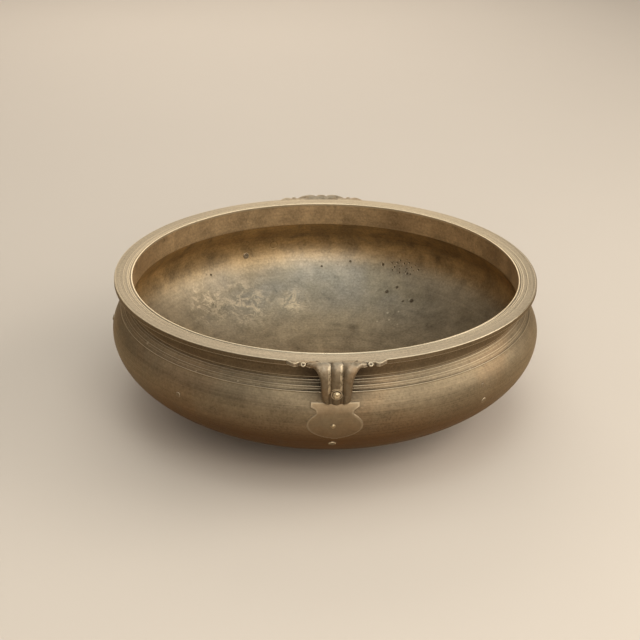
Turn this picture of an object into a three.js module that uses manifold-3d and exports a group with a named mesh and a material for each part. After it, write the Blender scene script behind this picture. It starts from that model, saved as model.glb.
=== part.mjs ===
// Brass urli: a wide cast bowl with a flat rim, a short neck, three raised ridges and a round belly, and a
// riveted strap lug with a shield plate at the front and at the back. Millimetres, +Z up, the middle of the
// base at the origin, the lugs on -Y and +Y. A depth is measured down from the rim's top face, and a reach
// outwards from the bowl's axis.
import * as THREE from "three";
import { mergeVertices } from "three/addons/utils/BufferGeometryUtils.js";
import Module from "manifold-3d";

const wasm = await Module();
wasm.setup();

// Bowl casting
const RIM_RADIUS = 210;
const RIM_WIDTH = 18;
const RIM_THICKNESS = 5;
const RIM_EDGE = 0.8;
const BOWL_HEIGHT = 143;
const WALL = 4;
const BELLY_OVERHANG = 3.2; // how far the belly stands out past the rim
const BELLY_DEPTH = 54;
const SHOULDER_DEPTH = 34;
const SHOULDER_FALL = 8; // how far the shoulder draws in from the belly
const BASE_RADIUS = 70;
const BODY_FULLNESS = 1.44; // exponent of the lower body's curve: 1 is an ellipse, more is flatter
const NECK_DEPTH = 24;
const NECK_FILLET = 3;
const RIDGES = [
  { depth: 24, proud: 0.9 },
  { depth: 29, proud: 0.9 },
  { depth: 32.4, proud: 1.9 },
];
const RIDGE_HALF_HEIGHT = 1;

// Strap lug
const LUG_WING_SPAN = 85;
const LUG_WING_REACH = 4.5; // how far a wing stands out past the rim
const WING_HOLLOW = 2.2; // how far the wing's edge stands out beside the curl, past the middle of its reach
const CURL_RADIUS = 2.6;
const CURL_OFFSET = 30;
const STRAP_WIDTH = 31;
const STRAP_FOOT_WIDTH = 26;
const FOOT_ROUND = 5;
const STRAP_REACH = 13; // how far the strap stands out past the rim
const STRAP_RISE = 2.4; // how far its ribs rise over the rim
const STRAP_THICKNESS = 6;
const STRAP_DEPTH = 42;
const STRAP_CORNER = 1.5; // how far the strap's top corner is drawn in and down
const STRAP_RIVET_FALL = 3.5; // how far the strap's face has drawn in at its rivet
const STRAP_FOOT_FALL = 9.5; // and at its foot
const LOOP_DEPTH = 24; // the lower end of the gap behind the strap
const GROOVE_OFFSET = 5.3;
const GROOVE_WIDTH = 3.2;
const GROOVE_CUT = 2;

// Rivets, washer, shield plate and wall plugs
const GAP = 0.3; // clearance between pieces that touch
const RIVET_END = 0.9; // how far a peened end stands inside the bowl
const LUG_RIVET = { radius: 2.3, headRadius: 3.7, headHeight: 3.2, depth: 28 };
const WASHER = { radius: 5.4, thickness: 1.6 };
const WASHER_RECESS = 1.2; // how deep the washer's seat is sunk in the strap
const PLATE_THICKNESS = 1.2;
const PLATE = { top: 41, shoulder: 50, wide: 63, tip: 80, hornHalf: 22, waistHalf: 17.5, wideHalf: 26 };
const PLATE_CHEEK = 6; // how far above its widest place the plate's side is still full
const PLATE_TIP_RISE = 7; // how far the plate's lower edge rises before it meets the side
const PLATE_FULLNESS = 0.9; // how square the plate's lower corners are
const PLATE_RIVET = { radius: 1.5, headRadius: 2.3, headHeight: 1.6, depth: 62.5 };
const TAIL_RIVET = { radius: 1.9, headRadius: 3.3, headHeight: 0.9, depth: 88 };
const PLUG_PROUD = 0.5;
const PLUG_REACH = 8; // how far a plug's pin is drawn into and out of the wall before it is trimmed
const PLUGS = [
  { name: "wall_plug_front_left", angle: -41.5, depth: 57, radius: 2.6 },
  { name: "wall_plug_front_right", angle: 41.5, depth: 49, radius: 1.8 },
  { name: "wall_plug_low_right", angle: 42.5, depth: 66, radius: 2.4 },
  { name: "wall_plug_left", angle: -88, depth: 46, radius: 3 },
  { name: "wall_plug_back_left", angle: -157, depth: 62, radius: 3.2 },
];

// Each lug is set a little to one side of the bowl's middle plane, as fitted by hand.
const SIDES = [
  { name: "front", turn: 0, shift: 2.5 },
  { name: "back", turn: Math.PI, shift: -2.2 },
];

// Facets
const ROUND_STEPS = 72;
const SMALL_STEPS = 20;
const BODY_STEPS = 10;
const SHOULDER_STEPS = 3;
const CURVE_STEPS = 6;
const DOME_STEPS = 5;
const MERGE_TOLERANCE = 1e-4;
const SLOPE_STEP = 0.5; // the depth over which the wall's slope is measured
const SHARPEST_CORNER = 0.5; // limits how far a corner moves when a profile is offset

const NECK_INNER = RIM_RADIUS - RIM_WIDTH;
const NECK_OUTER = NECK_INNER + WALL;
const BELLY_RADIUS = RIM_RADIUS + BELLY_OVERHANG;
const SHOULDER_RADIUS = BELLY_RADIUS - SHOULDER_FALL;
const COLLAR_DEPTH = RIDGES[0].depth - RIDGE_HALF_HEIGHT;
const BELLY_HEIGHT = BOWL_HEIGHT - BELLY_DEPTH;
const FAR = 30; // how far a cutting solid runs past what it cuts

const point = (reach, depth) => new THREE.Vector2(reach, BOWL_HEIGHT - depth);

const material = (color, roughness) => new THREE.MeshStandardMaterial({ color, roughness, metalness: 0.85 });
const FINISHES = {
  bowl: material(0x82745a, 0.45),
  lug: material(0x9a8a68, 0.42),
  plate: material(0x6e5d40, 0.5),
  rivet: material(0xc4ac7c, 0.35),
};

// ---- solids ----

function solid(geometry) {
  const bare = geometry.index ? geometry.toNonIndexed() : geometry.clone();
  bare.deleteAttribute("normal");
  bare.deleteAttribute("uv");
  const merged = mergeVertices(bare, MERGE_TOLERANCE);
  const corners = merged.index.array;
  const triangles = [];
  for (let i = 0; i < corners.length; i += 3) {
    const [a, b, c] = corners.subarray(i, i + 3);
    if (a !== b && b !== c && c !== a) triangles.push(a, b, c);
  }
  const vertices = new Float32Array(merged.attributes.position.array);
  const mesh = new wasm.Mesh({ numProp: 3, vertProperties: vertices, triVerts: new Uint32Array(triangles) });
  return new wasm.Manifold(mesh);
}

function geometryOf(shape) {
  const mesh = shape.getMesh();
  const geometry = new THREE.BufferGeometry();
  geometry.setAttribute("position", new THREE.BufferAttribute(new Float32Array(mesh.vertProperties), 3));
  geometry.setIndex(new THREE.BufferAttribute(new Uint32Array(mesh.triVerts), 1));
  const flat = geometry.toNonIndexed();
  flat.computeVertexNormals();
  return flat;
}

// A profile of (radius, height) points turned about +Z.
function turned(points, steps, placed = new THREE.Matrix4()) {
  return solid(new THREE.LatheGeometry(points, steps).rotateX(Math.PI / 2).applyMatrix4(placed));
}

// An outline extruded through a thickness, its own x, y and z laid along the three directions given.
function prism(outline, thickness, directions, origin) {
  const placed = new THREE.Matrix4().makeBasis(...directions).setPosition(origin);
  const options = { depth: thickness, bevelEnabled: false, curveSegments: CURVE_STEPS };
  return solid(new THREE.ExtrudeGeometry(outline, options).applyMatrix4(placed));
}

const RIGHT = new THREE.Vector3(1, 0, 0);
const UP = new THREE.Vector3(0, 0, 1);
const OUT = new THREE.Vector3(0, -1, 0); // outwards at the front lug
const PLAN = [RIGHT, OUT, UP.clone().negate()]; // outline in (x, reach), extruded down
const FACE = [RIGHT, UP, OUT]; // outline in (x, z), extruded outwards
const SECTION = [OUT, UP, RIGHT.clone().negate()]; // outline in (reach, z), extruded across

// ---- bowl profile ----

function bodyRadius(depth) {
  if (depth <= BELLY_DEPTH) {
    const share = (BELLY_DEPTH - depth) / (BELLY_DEPTH - SHOULDER_DEPTH);
    return BELLY_RADIUS - SHOULDER_FALL * share ** 2;
  }
  const turn = Math.asin((depth - BELLY_DEPTH) / BELLY_HEIGHT);
  return BASE_RADIUS + (BELLY_RADIUS - BASE_RADIUS) * Math.cos(turn) ** BODY_FULLNESS;
}

function bodyLine() {
  const line = [point(BASE_RADIUS, BOWL_HEIGHT)];
  for (let i = BODY_STEPS - 1; i >= 0; i -= 1) {
    const depth = BELLY_DEPTH + BELLY_HEIGHT * Math.sin(((i / BODY_STEPS) * Math.PI) / 2);
    line.push(point(bodyRadius(depth), depth));
  }
  for (let i = 1; i <= SHOULDER_STEPS; i += 1) {
    const depth = BELLY_DEPTH + (SHOULDER_DEPTH - BELLY_DEPTH) * (i / SHOULDER_STEPS);
    line.push(point(bodyRadius(depth), depth));
  }
  return line;
}

// The sloping collar between the neck and the shoulder, which the ridges stand on.
function collarRadius(depth) {
  const share = (depth - COLLAR_DEPTH) / (SHOULDER_DEPTH - COLLAR_DEPTH);
  return NECK_OUTER + (SHOULDER_RADIUS - NECK_OUTER) * share;
}

function ridgeLine() {
  const line = [];
  for (const ridge of [...RIDGES].reverse()) {
    for (const step of [1, 0, -1]) {
      const depth = ridge.depth + step * RIDGE_HALF_HEIGHT;
      line.push(point(collarRadius(depth) + (step === 0 ? ridge.proud : 0), depth));
    }
  }
  return line;
}

function rimLine() {
  return [
    point(NECK_OUTER, RIM_THICKNESS + NECK_FILLET),
    point(NECK_OUTER + NECK_FILLET, RIM_THICKNESS),
    point(RIM_RADIUS - RIM_EDGE, RIM_THICKNESS),
    point(RIM_RADIUS, RIM_THICKNESS - RIM_EDGE),
    point(RIM_RADIUS, RIM_EDGE),
    point(RIM_RADIUS - RIM_EDGE, 0),
    point(NECK_INNER + RIM_EDGE, 0),
  ];
}

// Moves a line that runs from the foot to the top sideways, away from the axis for a positive distance.
function offsetLine(line, distance) {
  return line.map((here, i) => {
    const back = line[Math.max(i - 1, 0)];
    const next = line[Math.min(i + 1, line.length - 1)];
    const before = here.equals(back) ? next.clone().sub(here) : here.clone().sub(back);
    const after = here.equals(next) ? before.clone() : next.clone().sub(here);
    const first = new THREE.Vector2(before.y, -before.x).normalize();
    const second = new THREE.Vector2(after.y, -after.x).normalize();
    const middle = first.clone().add(second).normalize();
    const stretch = distance / Math.max(middle.dot(first), SHARPEST_CORNER);
    const moved = here.clone().addScaledVector(middle, stretch);
    return here.x === 0 ? new THREE.Vector2(0, here.y + distance * Math.sign(middle.y)) : moved;
  });
}

const outerLine = () => [new THREE.Vector2(0, 0), ...bodyLine(), ...ridgeLine(), ...rimLine()];

const innerLine = () => [
  new THREE.Vector2(0, WALL),
  ...offsetLine(bodyLine(), -WALL),
  point(NECK_INNER, NECK_DEPTH),
  point(NECK_INNER, RIM_EDGE),
];

// The bowl as if it were full, grown all round: what sits against its outside is cut with this.
function envelope(grown) {
  return turned(offsetLine([...outerLine(), new THREE.Vector2(0, BOWL_HEIGHT)], grown), ROUND_STEPS);
}

// The space inside the bowl, shrunk all round: what ends against its inside is cut with this.
function cavity(shrunk) {
  const top = BOWL_HEIGHT + FAR;
  const line = [...innerLine().slice(0, -1), new THREE.Vector2(NECK_INNER, top), new THREE.Vector2(0, top)];
  return turned(offsetLine(line, -shrunk), ROUND_STEPS);
}

// ---- places on the wall ----

// A frame on the outer wall, with +Z along the wall's outward normal and its angle counted from the front.
function wallFrame(angle, depth) {
  const slope = (bodyRadius(depth + SLOPE_STEP) - bodyRadius(depth - SLOPE_STEP)) / (2 * SLOPE_STEP);
  const tilt = Math.atan(slope);
  return reachFrame(angle, depth, bodyRadius(depth), tilt);
}

function reachFrame(angle, depth, reach, tilt) {
  const spot = new THREE.Matrix4().makeTranslation(0, -reach, BOWL_HEIGHT - depth);
  const aim = new THREE.Matrix4().makeRotationX(Math.PI / 2 - tilt);
  return new THREE.Matrix4().makeRotationZ(angle).multiply(spot).multiply(aim);
}

// A round bar along a frame's +Z, between two heights.
function bar(radius, from, to, frame) {
  const line = [
    new THREE.Vector2(0, from),
    new THREE.Vector2(radius, from),
    new THREE.Vector2(radius, to),
    new THREE.Vector2(0, to),
  ];
  return turned(line, SMALL_STEPS, frame);
}

// A domed rivet head whose flat side lies at a height on a frame's +Z.
function dome(radius, height, base, frame) {
  const line = [new THREE.Vector2(0, base)];
  for (let i = 0; i < DOME_STEPS; i += 1) {
    const turn = ((i / DOME_STEPS) * Math.PI) / 2;
    line.push(new THREE.Vector2(radius * Math.cos(turn), base + height * Math.sin(turn)));
  }
  line.push(new THREE.Vector2(0, base + height));
  return turned(line, SMALL_STEPS, frame);
}

// A rivet from its peened end inside the bowl to its head, which sits on what it holds.
function rivet(size, seat, frame) {
  const shaft = bar(size.radius, -FAR, seat + size.headHeight / 2, frame);
  const head = dome(size.headRadius, size.headHeight, seat, frame);
  return shaft.subtract(cavity(RIVET_END)).add(head);
}

const rivetHole = (size, frame) => bar(size.radius + GAP, -FAR, FAR, frame);

// ---- lug ----

const STRAP_FACE = RIM_RADIUS + STRAP_REACH;
const STRAP_BACK = STRAP_FACE - STRAP_THICKNESS;
const WASHER_SEAT = STRAP_FACE - STRAP_RIVET_FALL - WASHER_RECESS;

function strapFace() {
  return [
    new THREE.Vector2(RIM_RADIUS, 0),
    new THREE.Vector2(RIM_RADIUS + STRAP_REACH / 2, STRAP_RISE),
    new THREE.Vector2(STRAP_FACE - STRAP_CORNER, -STRAP_CORNER),
    new THREE.Vector2(STRAP_FACE, -LOOP_DEPTH / 2),
    new THREE.Vector2(STRAP_FACE - STRAP_RIVET_FALL, -LUG_RIVET.depth),
    new THREE.Vector2(STRAP_FACE - STRAP_FOOT_FALL, -STRAP_DEPTH),
  ];
}

// The strap seen from its side: its outer face, its foot on the shoulder and the loop gap behind it.
function strapSection() {
  const outline = new THREE.Shape();
  const foot = NECK_OUTER - WALL / 2;
  outline.moveTo(NECK_OUTER + NECK_FILLET, -RIM_THICKNESS);
  outline.lineTo(NECK_OUTER + NECK_FILLET, 0);
  outline.lineTo(RIM_RADIUS, 0);
  outline.splineThru(strapFace().slice(1));
  outline.lineTo(foot, -STRAP_DEPTH);
  outline.lineTo(foot, -LOOP_DEPTH);
  outline.lineTo(STRAP_BACK - STRAP_THICKNESS, -LOOP_DEPTH);
  outline.quadraticCurveTo(STRAP_BACK, -LOOP_DEPTH, STRAP_BACK, -LOOP_DEPTH + STRAP_THICKNESS);
  outline.lineTo(STRAP_BACK, -RIM_THICKNESS - NECK_FILLET);
  outline.quadraticCurveTo(STRAP_BACK, -RIM_THICKNESS, STRAP_BACK - NECK_FILLET, -RIM_THICKNESS);
  return outline;
}

// The strap seen from the front: it narrows towards a foot with round corners.
function strapOutline(grown = 0) {
  const top = STRAP_WIDTH / 2 + grown;
  const foot = STRAP_FOOT_WIDTH / 2 + grown;
  const low = -STRAP_DEPTH - grown;
  const outline = new THREE.Shape();
  outline.moveTo(-top, STRAP_RISE * 2);
  outline.lineTo(-top, -RIM_THICKNESS);
  outline.lineTo(-foot, low + FOOT_ROUND);
  outline.quadraticCurveTo(-foot, low, -foot + FOOT_ROUND, low);
  outline.lineTo(foot - FOOT_ROUND, low);
  outline.quadraticCurveTo(foot, low, foot, low + FOOT_ROUND);
  outline.lineTo(top, -RIM_THICKNESS);
  outline.lineTo(top, STRAP_RISE * 2);
  return outline;
}

// One wing in plan, from the strap's side past its curl and lobe to the cusp on the rim.
function wingOutline(hand) {
  const middle = RIM_RADIUS - LUG_WING_REACH / 2;
  const full = middle + LUG_WING_REACH;
  const hollow = middle + WING_HOLLOW;
  const root = RIM_RADIUS - RIM_WIDTH / 2;
  const shoulder = RIM_RADIUS + STRAP_REACH / 2;
  const side = hand * (STRAP_WIDTH / 2);
  const curl = hand * CURL_OFFSET;
  const radius = hand * CURL_RADIUS;
  const tip = hand * (LUG_WING_SPAN / 2);
  const outline = new THREE.Shape();
  outline.moveTo(0, root);
  outline.lineTo(0, shoulder);
  outline.lineTo(side, shoulder);
  outline.quadraticCurveTo(side, full, curl - radius * 2, hollow);
  outline.lineTo(curl - radius, hollow);
  outline.quadraticCurveTo(curl, full + CURL_RADIUS, curl + radius, hollow);
  outline.quadraticCurveTo((curl + tip) / 2, full, tip, RIM_RADIUS - LUG_WING_REACH);
  outline.lineTo(tip, root);
  return outline;
}

function wings() {
  const origin = new THREE.Vector3(0, 0, BOWL_HEIGHT);
  const [left, right] = [-1, 1].map((hand) => prism(wingOutline(hand), RIM_THICKNESS, PLAN, origin));
  return left.add(right);
}

// A slot along the strap's face, cut to an even depth between two ribs.
function groove(offset) {
  const face = strapFace();
  const outline = new THREE.Shape();
  outline.moveTo(face[0].x, face[0].y + STRAP_RISE / 2);
  outline.splineThru(face.slice(1).map((p) => new THREE.Vector2(p.x - GROOVE_CUT, p.y - GROOVE_CUT / 2)));
  outline.lineTo(STRAP_FACE + FAR, -STRAP_DEPTH - FAR);
  outline.lineTo(STRAP_FACE + FAR, FAR);
  outline.lineTo(face[0].x, FAR);
  const origin = new THREE.Vector3(offset + GROOVE_WIDTH / 2, 0, BOWL_HEIGHT);
  return prism(outline, GROOVE_WIDTH, SECTION, origin);
}

const lugFrame = (shift) =>
  new THREE.Matrix4().makeTranslation(shift, 0, 0).multiply(reachFrame(0, LUG_RIVET.depth, WASHER_SEAT, 0));

function makeLug(shift) {
  const across = new THREE.Vector3(STRAP_WIDTH / 2, 0, BOWL_HEIGHT);
  const side = prism(strapSection(), STRAP_WIDTH, SECTION, across);
  const front = prism(strapOutline(), STRAP_FACE + FAR, FACE, new THREE.Vector3(0, 0, BOWL_HEIGHT));
  const grooves = groove(-GROOVE_OFFSET).add(groove(GROOVE_OFFSET));
  const casting = side.intersect(front).add(wings()).subtract(grooves).translate([shift, 0, 0]);
  const seat = bar(WASHER.radius + GAP, 0, FAR, lugFrame(shift));
  return casting.subtract(seat).subtract(rivetHole(LUG_RIVET, lugFrame(shift))).subtract(envelope(GAP));
}

const makeWasher = (shift) =>
  bar(WASHER.radius, GAP, GAP + WASHER.thickness, lugFrame(shift)).subtract(
    rivetHole(LUG_RIVET, lugFrame(shift)),
  );

const makeLugRivet = (shift) => rivet(LUG_RIVET, 2 * GAP + WASHER.thickness, lugFrame(shift));

// ---- shield plate ----

// The shield with two horns at the top, a waist below them and a point at the foot.
function shieldOutline() {
  const corner = PLATE.wideHalf * PLATE_FULLNESS;
  const edge = PLATE_TIP_RISE - PLATE.tip;
  const cheek = PLATE_CHEEK - PLATE.wide;
  const outline = new THREE.Shape();
  outline.moveTo(0, -PLATE.tip);
  outline.quadraticCurveTo(corner, edge, PLATE.wideHalf, -PLATE.wide);
  outline.quadraticCurveTo(PLATE.wideHalf, cheek, PLATE.waistHalf, -PLATE.shoulder);
  outline.lineTo(PLATE.hornHalf, -PLATE.top);
  outline.lineTo(-PLATE.hornHalf, -PLATE.top);
  outline.lineTo(-PLATE.waistHalf, -PLATE.shoulder);
  outline.quadraticCurveTo(-PLATE.wideHalf, cheek, -PLATE.wideHalf, -PLATE.wide);
  outline.quadraticCurveTo(-corner, edge, 0, -PLATE.tip);
  return outline;
}

// The plate follows the wall and stops short of the strap's foot.
function makePlate(shift) {
  const skin = envelope(GAP + PLATE_THICKNESS).subtract(envelope(GAP));
  const shield = prism(shieldOutline(), STRAP_FACE + FAR, FACE, new THREE.Vector3(0, 0, BOWL_HEIGHT));
  const foot = prism(strapOutline(GAP), STRAP_FACE + FAR, FACE, new THREE.Vector3(shift, 0, BOWL_HEIGHT));
  const hole = rivetHole(PLATE_RIVET, wallFrame(0, PLATE_RIVET.depth));
  return skin.intersect(shield).subtract(foot).subtract(hole);
}

const makePlateRivet = () =>
  rivet(PLATE_RIVET, PLATE_THICKNESS + 2 * GAP, wallFrame(0, PLATE_RIVET.depth));

const makeTailRivet = () => rivet(TAIL_RIVET, GAP, wallFrame(0, TAIL_RIVET.depth));

// ---- bowl ----

const plugFrame = (plug) => wallFrame(THREE.MathUtils.degToRad(plug.angle), plug.depth);

function makePlug(plug) {
  const pin = bar(plug.radius, -PLUG_REACH, PLUG_REACH, plugFrame(plug));
  return pin.intersect(envelope(PLUG_PROUD)).subtract(cavity(PLUG_PROUD));
}

function makeBowl() {
  let bowl = turned([...outerLine(), ...innerLine().reverse()], ROUND_STEPS);
  for (const side of SIDES) {
    const turn = new THREE.Matrix4().makeRotationZ(side.turn);
    bowl = bowl.subtract(rivetHole(LUG_RIVET, turn.clone().multiply(lugFrame(side.shift))));
    bowl = bowl.subtract(rivetHole(PLATE_RIVET, wallFrame(side.turn, PLATE_RIVET.depth)));
    bowl = bowl.subtract(rivetHole(TAIL_RIVET, wallFrame(side.turn, TAIL_RIVET.depth)));
  }
  for (const plug of PLUGS) {
    bowl = bowl.subtract(bar(plug.radius + GAP, -PLUG_REACH, PLUG_REACH, plugFrame(plug)));
  }
  return bowl;
}

// ---- the whole urli ----

const urli = new THREE.Group();

function place(name, shape, finish, parent = urli) {
  const mesh = new THREE.Mesh(geometryOf(shape), finish);
  mesh.name = name;
  parent.add(mesh);
}

place("bowl_body", makeBowl(), FINISHES.bowl);

for (const { name, turn, shift } of SIDES) {
  const set = new THREE.Group();
  set.rotation.z = turn;
  urli.add(set);
  place(`${name}_lug`, makeLug(shift), FINISHES.lug, set);
  place(`${name}_lug_washer`, makeWasher(shift), FINISHES.lug, set);
  place(`${name}_lug_rivet`, makeLugRivet(shift), FINISHES.rivet, set);
  place(`${name}_shield_plate`, makePlate(shift), FINISHES.plate, set);
  place(`${name}_plate_rivet`, makePlateRivet(), FINISHES.rivet, set);
  place(`${name}_tail_rivet`, makeTailRivet(), FINISHES.rivet, set);
}

for (const plug of PLUGS) place(plug.name, makePlug(plug), FINISHES.rivet);

export default urli;
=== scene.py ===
"""An aged brass urli: a wide cast bowl with a flat rim, three ridges and two riveted strap lugs."""

import functools
import math

import bpy
import numpy as np
from bpy.props import FloatProperty, FloatVectorProperty, IntProperty, PointerProperty
from mathutils import Matrix, Vector, noise
from mathutils.geometry import delaunay_2d_cdt


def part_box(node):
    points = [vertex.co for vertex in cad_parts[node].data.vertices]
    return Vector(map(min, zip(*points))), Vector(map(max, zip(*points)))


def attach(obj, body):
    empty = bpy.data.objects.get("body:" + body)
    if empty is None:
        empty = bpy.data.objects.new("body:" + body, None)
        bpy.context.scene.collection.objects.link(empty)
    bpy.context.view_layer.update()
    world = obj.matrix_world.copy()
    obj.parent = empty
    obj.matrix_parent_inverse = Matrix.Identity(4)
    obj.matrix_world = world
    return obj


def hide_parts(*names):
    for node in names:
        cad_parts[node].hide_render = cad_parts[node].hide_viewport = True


bl_info = {
    "name": "Brass urli",
    "version": (1, 0, 0),
    "blender": (4, 5, 0),
    "location": "View3D > Sidebar > Urli",
    "description": "Builds an aged brass urli bowl with its lugs, plates and rivets on a frame",
    "category": "Object",
}

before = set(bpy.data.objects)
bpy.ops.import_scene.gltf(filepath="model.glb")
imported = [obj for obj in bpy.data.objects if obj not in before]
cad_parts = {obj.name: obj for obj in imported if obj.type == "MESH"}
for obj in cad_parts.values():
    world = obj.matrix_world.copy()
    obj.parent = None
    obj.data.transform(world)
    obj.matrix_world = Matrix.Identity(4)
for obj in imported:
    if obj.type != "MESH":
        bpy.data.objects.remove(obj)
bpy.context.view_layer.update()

MM = 0.001
BODY = "root"
SIDES = {"front": 1, "back": -1}  # which way x runs in the side's own frame
BOWL_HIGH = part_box("bowl_body")[1]
LUG_LOW, LUG_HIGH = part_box("front_lug")
RELIEF = 0.3 * MM  # how deep the finishes' fine relief looks
BRASS_GLINT = (1.0, 0.86, 0.66, 1.0)  # the tint of reflections at a grazing angle


def middle_of(node):
    """The middle of a frame node's box."""
    low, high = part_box(node)
    return (low + high) / 2


def ramp(value, start, span):
    """Goes from 0 to 1 as value goes from start over a span, and stays there."""
    return max(0.0, min(1.0, (value - start) / span))


def length(name, description, size):
    """A length property whose default is given in millimetres."""
    return FloatProperty(
        name=name, description=description, default=size * MM, unit="LENGTH", precision=4
    )


def number(name, description, value):
    """A property for a plain number."""
    return FloatProperty(name=name, description=description, default=value)


def colour(name, description, shade):
    """A colour property with an RGB default."""
    return FloatVectorProperty(
        name=name, description=description, default=shade, subtype="COLOR", size=3, min=0, max=1
    )


# ---- settings ----


class UrliBowlSizes(bpy.types.PropertyGroup):
    """Sizes of the cast bowl. Depths are measured down from the rim's top face."""

    height: length("Height", "From the foot to the rim's top face", BOWL_HIGH.z / MM)
    belly_radius: length("Belly radius", "The widest radius of the belly", BOWL_HIGH.x / MM)
    belly_overhang: length("Belly overhang", "How far the belly stands out past the rim", 3.2)
    belly_depth: length("Belly depth", "Depth of the widest part of the belly", 54)
    shoulder_depth: length("Shoulder depth", "Depth at which the shoulder begins", 34)
    shoulder_fall: length("Shoulder fall", "How far the shoulder draws in from the belly", 8)
    base_radius: length("Base radius", "Radius of the flat underside", 70)
    fullness: number("Fullness", "Exponent of the lower body's curve", 1.44)
    wall: length("Wall", "Thickness of the wall", 4)
    rim_width: length("Rim width", "Width of the flat rim", 18)
    rim_thickness: length("Rim thickness", "Thickness of the flat rim", 5)
    edge_round: length("Edge rounding", "Radius of the rim's worn edges", 0.7)
    bead_width: length("Bead width", "Width of the bead along the rim's inner edge", 1.8)
    bead_height: length("Bead height", "Height of that bead over the rim", 0.45)
    neck_depth: length("Neck depth", "Depth of the neck's lower edge inside", 24)
    neck_fillet: length("Neck fillet", "Radius of the fillet under the rim", 3)
    unevenness: length("Unevenness", "How far the hand-finished casting strays from round", 0.35)
    turn_steps: IntProperty(name="Turn steps", description="Faces round the bowl", default=324)
    seed: IntProperty(name="Seed", description="Seed of the casting's unevenness", default=7)


class UrliLugSizes(bpy.types.PropertyGroup):
    """Sizes of a strap lug with its scrolled wings."""

    wing_span: length("Wing span", "From the cusp of one wing to the other", 90)
    wing_reach: length("Wing reach", "How far a wing stands out past the rim", 4.6)
    wing_thickness: length("Wing thickness", "Thickness of a wing", 3.6)
    curl_offset: length("Curl offset", "From the lug's middle to a curl", 30)
    curl_radius: length("Curl radius", "Radius of a curl", 2.35)
    strap_width: length("Strap width", "Width of the strap at its top", 30.2)
    foot_width: length("Foot width", "Width of the strap at its foot", 25.6)
    flare: length("Flare", "How far each side flares where the strap leaves the rim", 22)
    thickness: length("Strap thickness", "Thickness of the strap over its loop", 6)
    groove_offset: length("Groove offset", "From the strap's middle to a groove", 5.4)
    groove_cut: length("Groove cut", "Depth of a groove", 2.6)
    rib_fullness: number("Rib fullness", "How square a rib's section is", 2.4)
    edge: length("Edge rounding", "Radius of the strap's outer edges", 3.8)
    grain: length("Cast grain", "Height of the casting's grain", 0.1)
    voxel: length("Voxel", "Size of the voxels that fuse the casting", 0.36)


class UrliFittingSizes(bpy.types.PropertyGroup):
    """Sizes of the shield plates and the wall plugs."""

    plate_thickness: length("Plate thickness", "How far the shield plate stands off the wall", 0.55)
    plate_edge: length("Plate edge", "Width of the plate's rounded edge", 0.35)
    plug_proud: length("Plug stand-off", "How far a wall plug stands off the wall", 0.8)


class UrliColours(bpy.types.PropertyGroup):
    """Colours of the aged brass, as linear values."""

    rim: colour("Rim", "Rubbed brass of the rim's top face", (0.277, 0.224, 0.155))
    # Painted shade: the rim's top face is made darker towards its left side.
    rim_left_painted_shade: colour("Rim, left side", "The duller left side of the rim", (0.205, 0.166, 0.116))
    # Worn also colours the painted highlight on the lugs' groove walls.
    worn: colour("Worn", "Bright brass on worn edges and rivet heads", (0.62, 0.50, 0.33))
    knob: colour("Knob", "Handled brass of the lug rivets", (0.42, 0.31, 0.17))
    outside: colour("Outside", "Olive-brown patina of the outer wall", (0.197, 0.146, 0.086))
    rust: colour("Rust", "Redder patches of the outer wall", (0.215, 0.132, 0.066))
    # The lower body's colour is its reddish patina, darkened further as painted shade.
    low: colour("Lower body", "Reddish-brown patina of the lower body", (0.10, 0.044, 0.014))
    inside: colour("Inside", "Grey-brown patina of the inside", (0.225, 0.191, 0.141))
    olive: colour("Olive", "Greener patches inside", (0.245, 0.19, 0.105))
    bed: colour("Bed", "Brown patina low down inside", (0.28, 0.207, 0.12))
    tan: colour("Tan", "Dry, speckled patches inside", (0.46, 0.355, 0.225))
    warm: colour("Warm", "Warm brown under the neck inside", (0.475, 0.305, 0.13))
    neck: colour("Neck", "Warm brass inside the neck", (0.46, 0.318, 0.175))
    umber: colour("Umber", "Dark brown at the inside's left and right", (0.175, 0.115, 0.046))
    # Grime also stands for painted shade under the rim.
    grime_and_shade: colour("Grime", "Dull brown dirt", (0.10, 0.066, 0.034))
    # Soot also stands for the painted shadow beside the lugs.
    soot_and_shadow: colour("Soot", "Dark dirt in the hollows", (0.035, 0.023, 0.013))
    lug: colour("Lug", "Rubbed cast brass of the lugs", (0.18, 0.134, 0.082))


class UrliStudio(bpy.types.PropertyGroup):
    """The floor, the lights and the camera."""

    floor_colour: colour("Floor", "Colour of the floor and backdrop", (0.52, 0.44, 0.355))
    floor_radius: length("Floor radius", "Where the floor starts to curve into the backdrop", 3200)
    light: number("Light", "Scales the power of all the lights", 1.0)
    sky: number("Sky", "Strength of the surrounding light", 0.25)
    lens: number("Lens", "Focal length of the camera in mm", 95.6)
    distance: length("Distance", "From the middle of the rim to the camera", 1698)
    azimuth: number("Azimuth", "Camera's turn round the bowl in degrees", -2.3)
    elevation: number("Elevation", "Camera's height angle in degrees", 22.55)
    aim_side: length("Aim to the side", "How far right of the axis the camera aims", -5.1)
    aim_depth: length("Aim depth", "How far below the rim the camera aims", 53.8)
    roll: number("Roll", "Camera's roll in degrees", 0.68)


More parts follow.
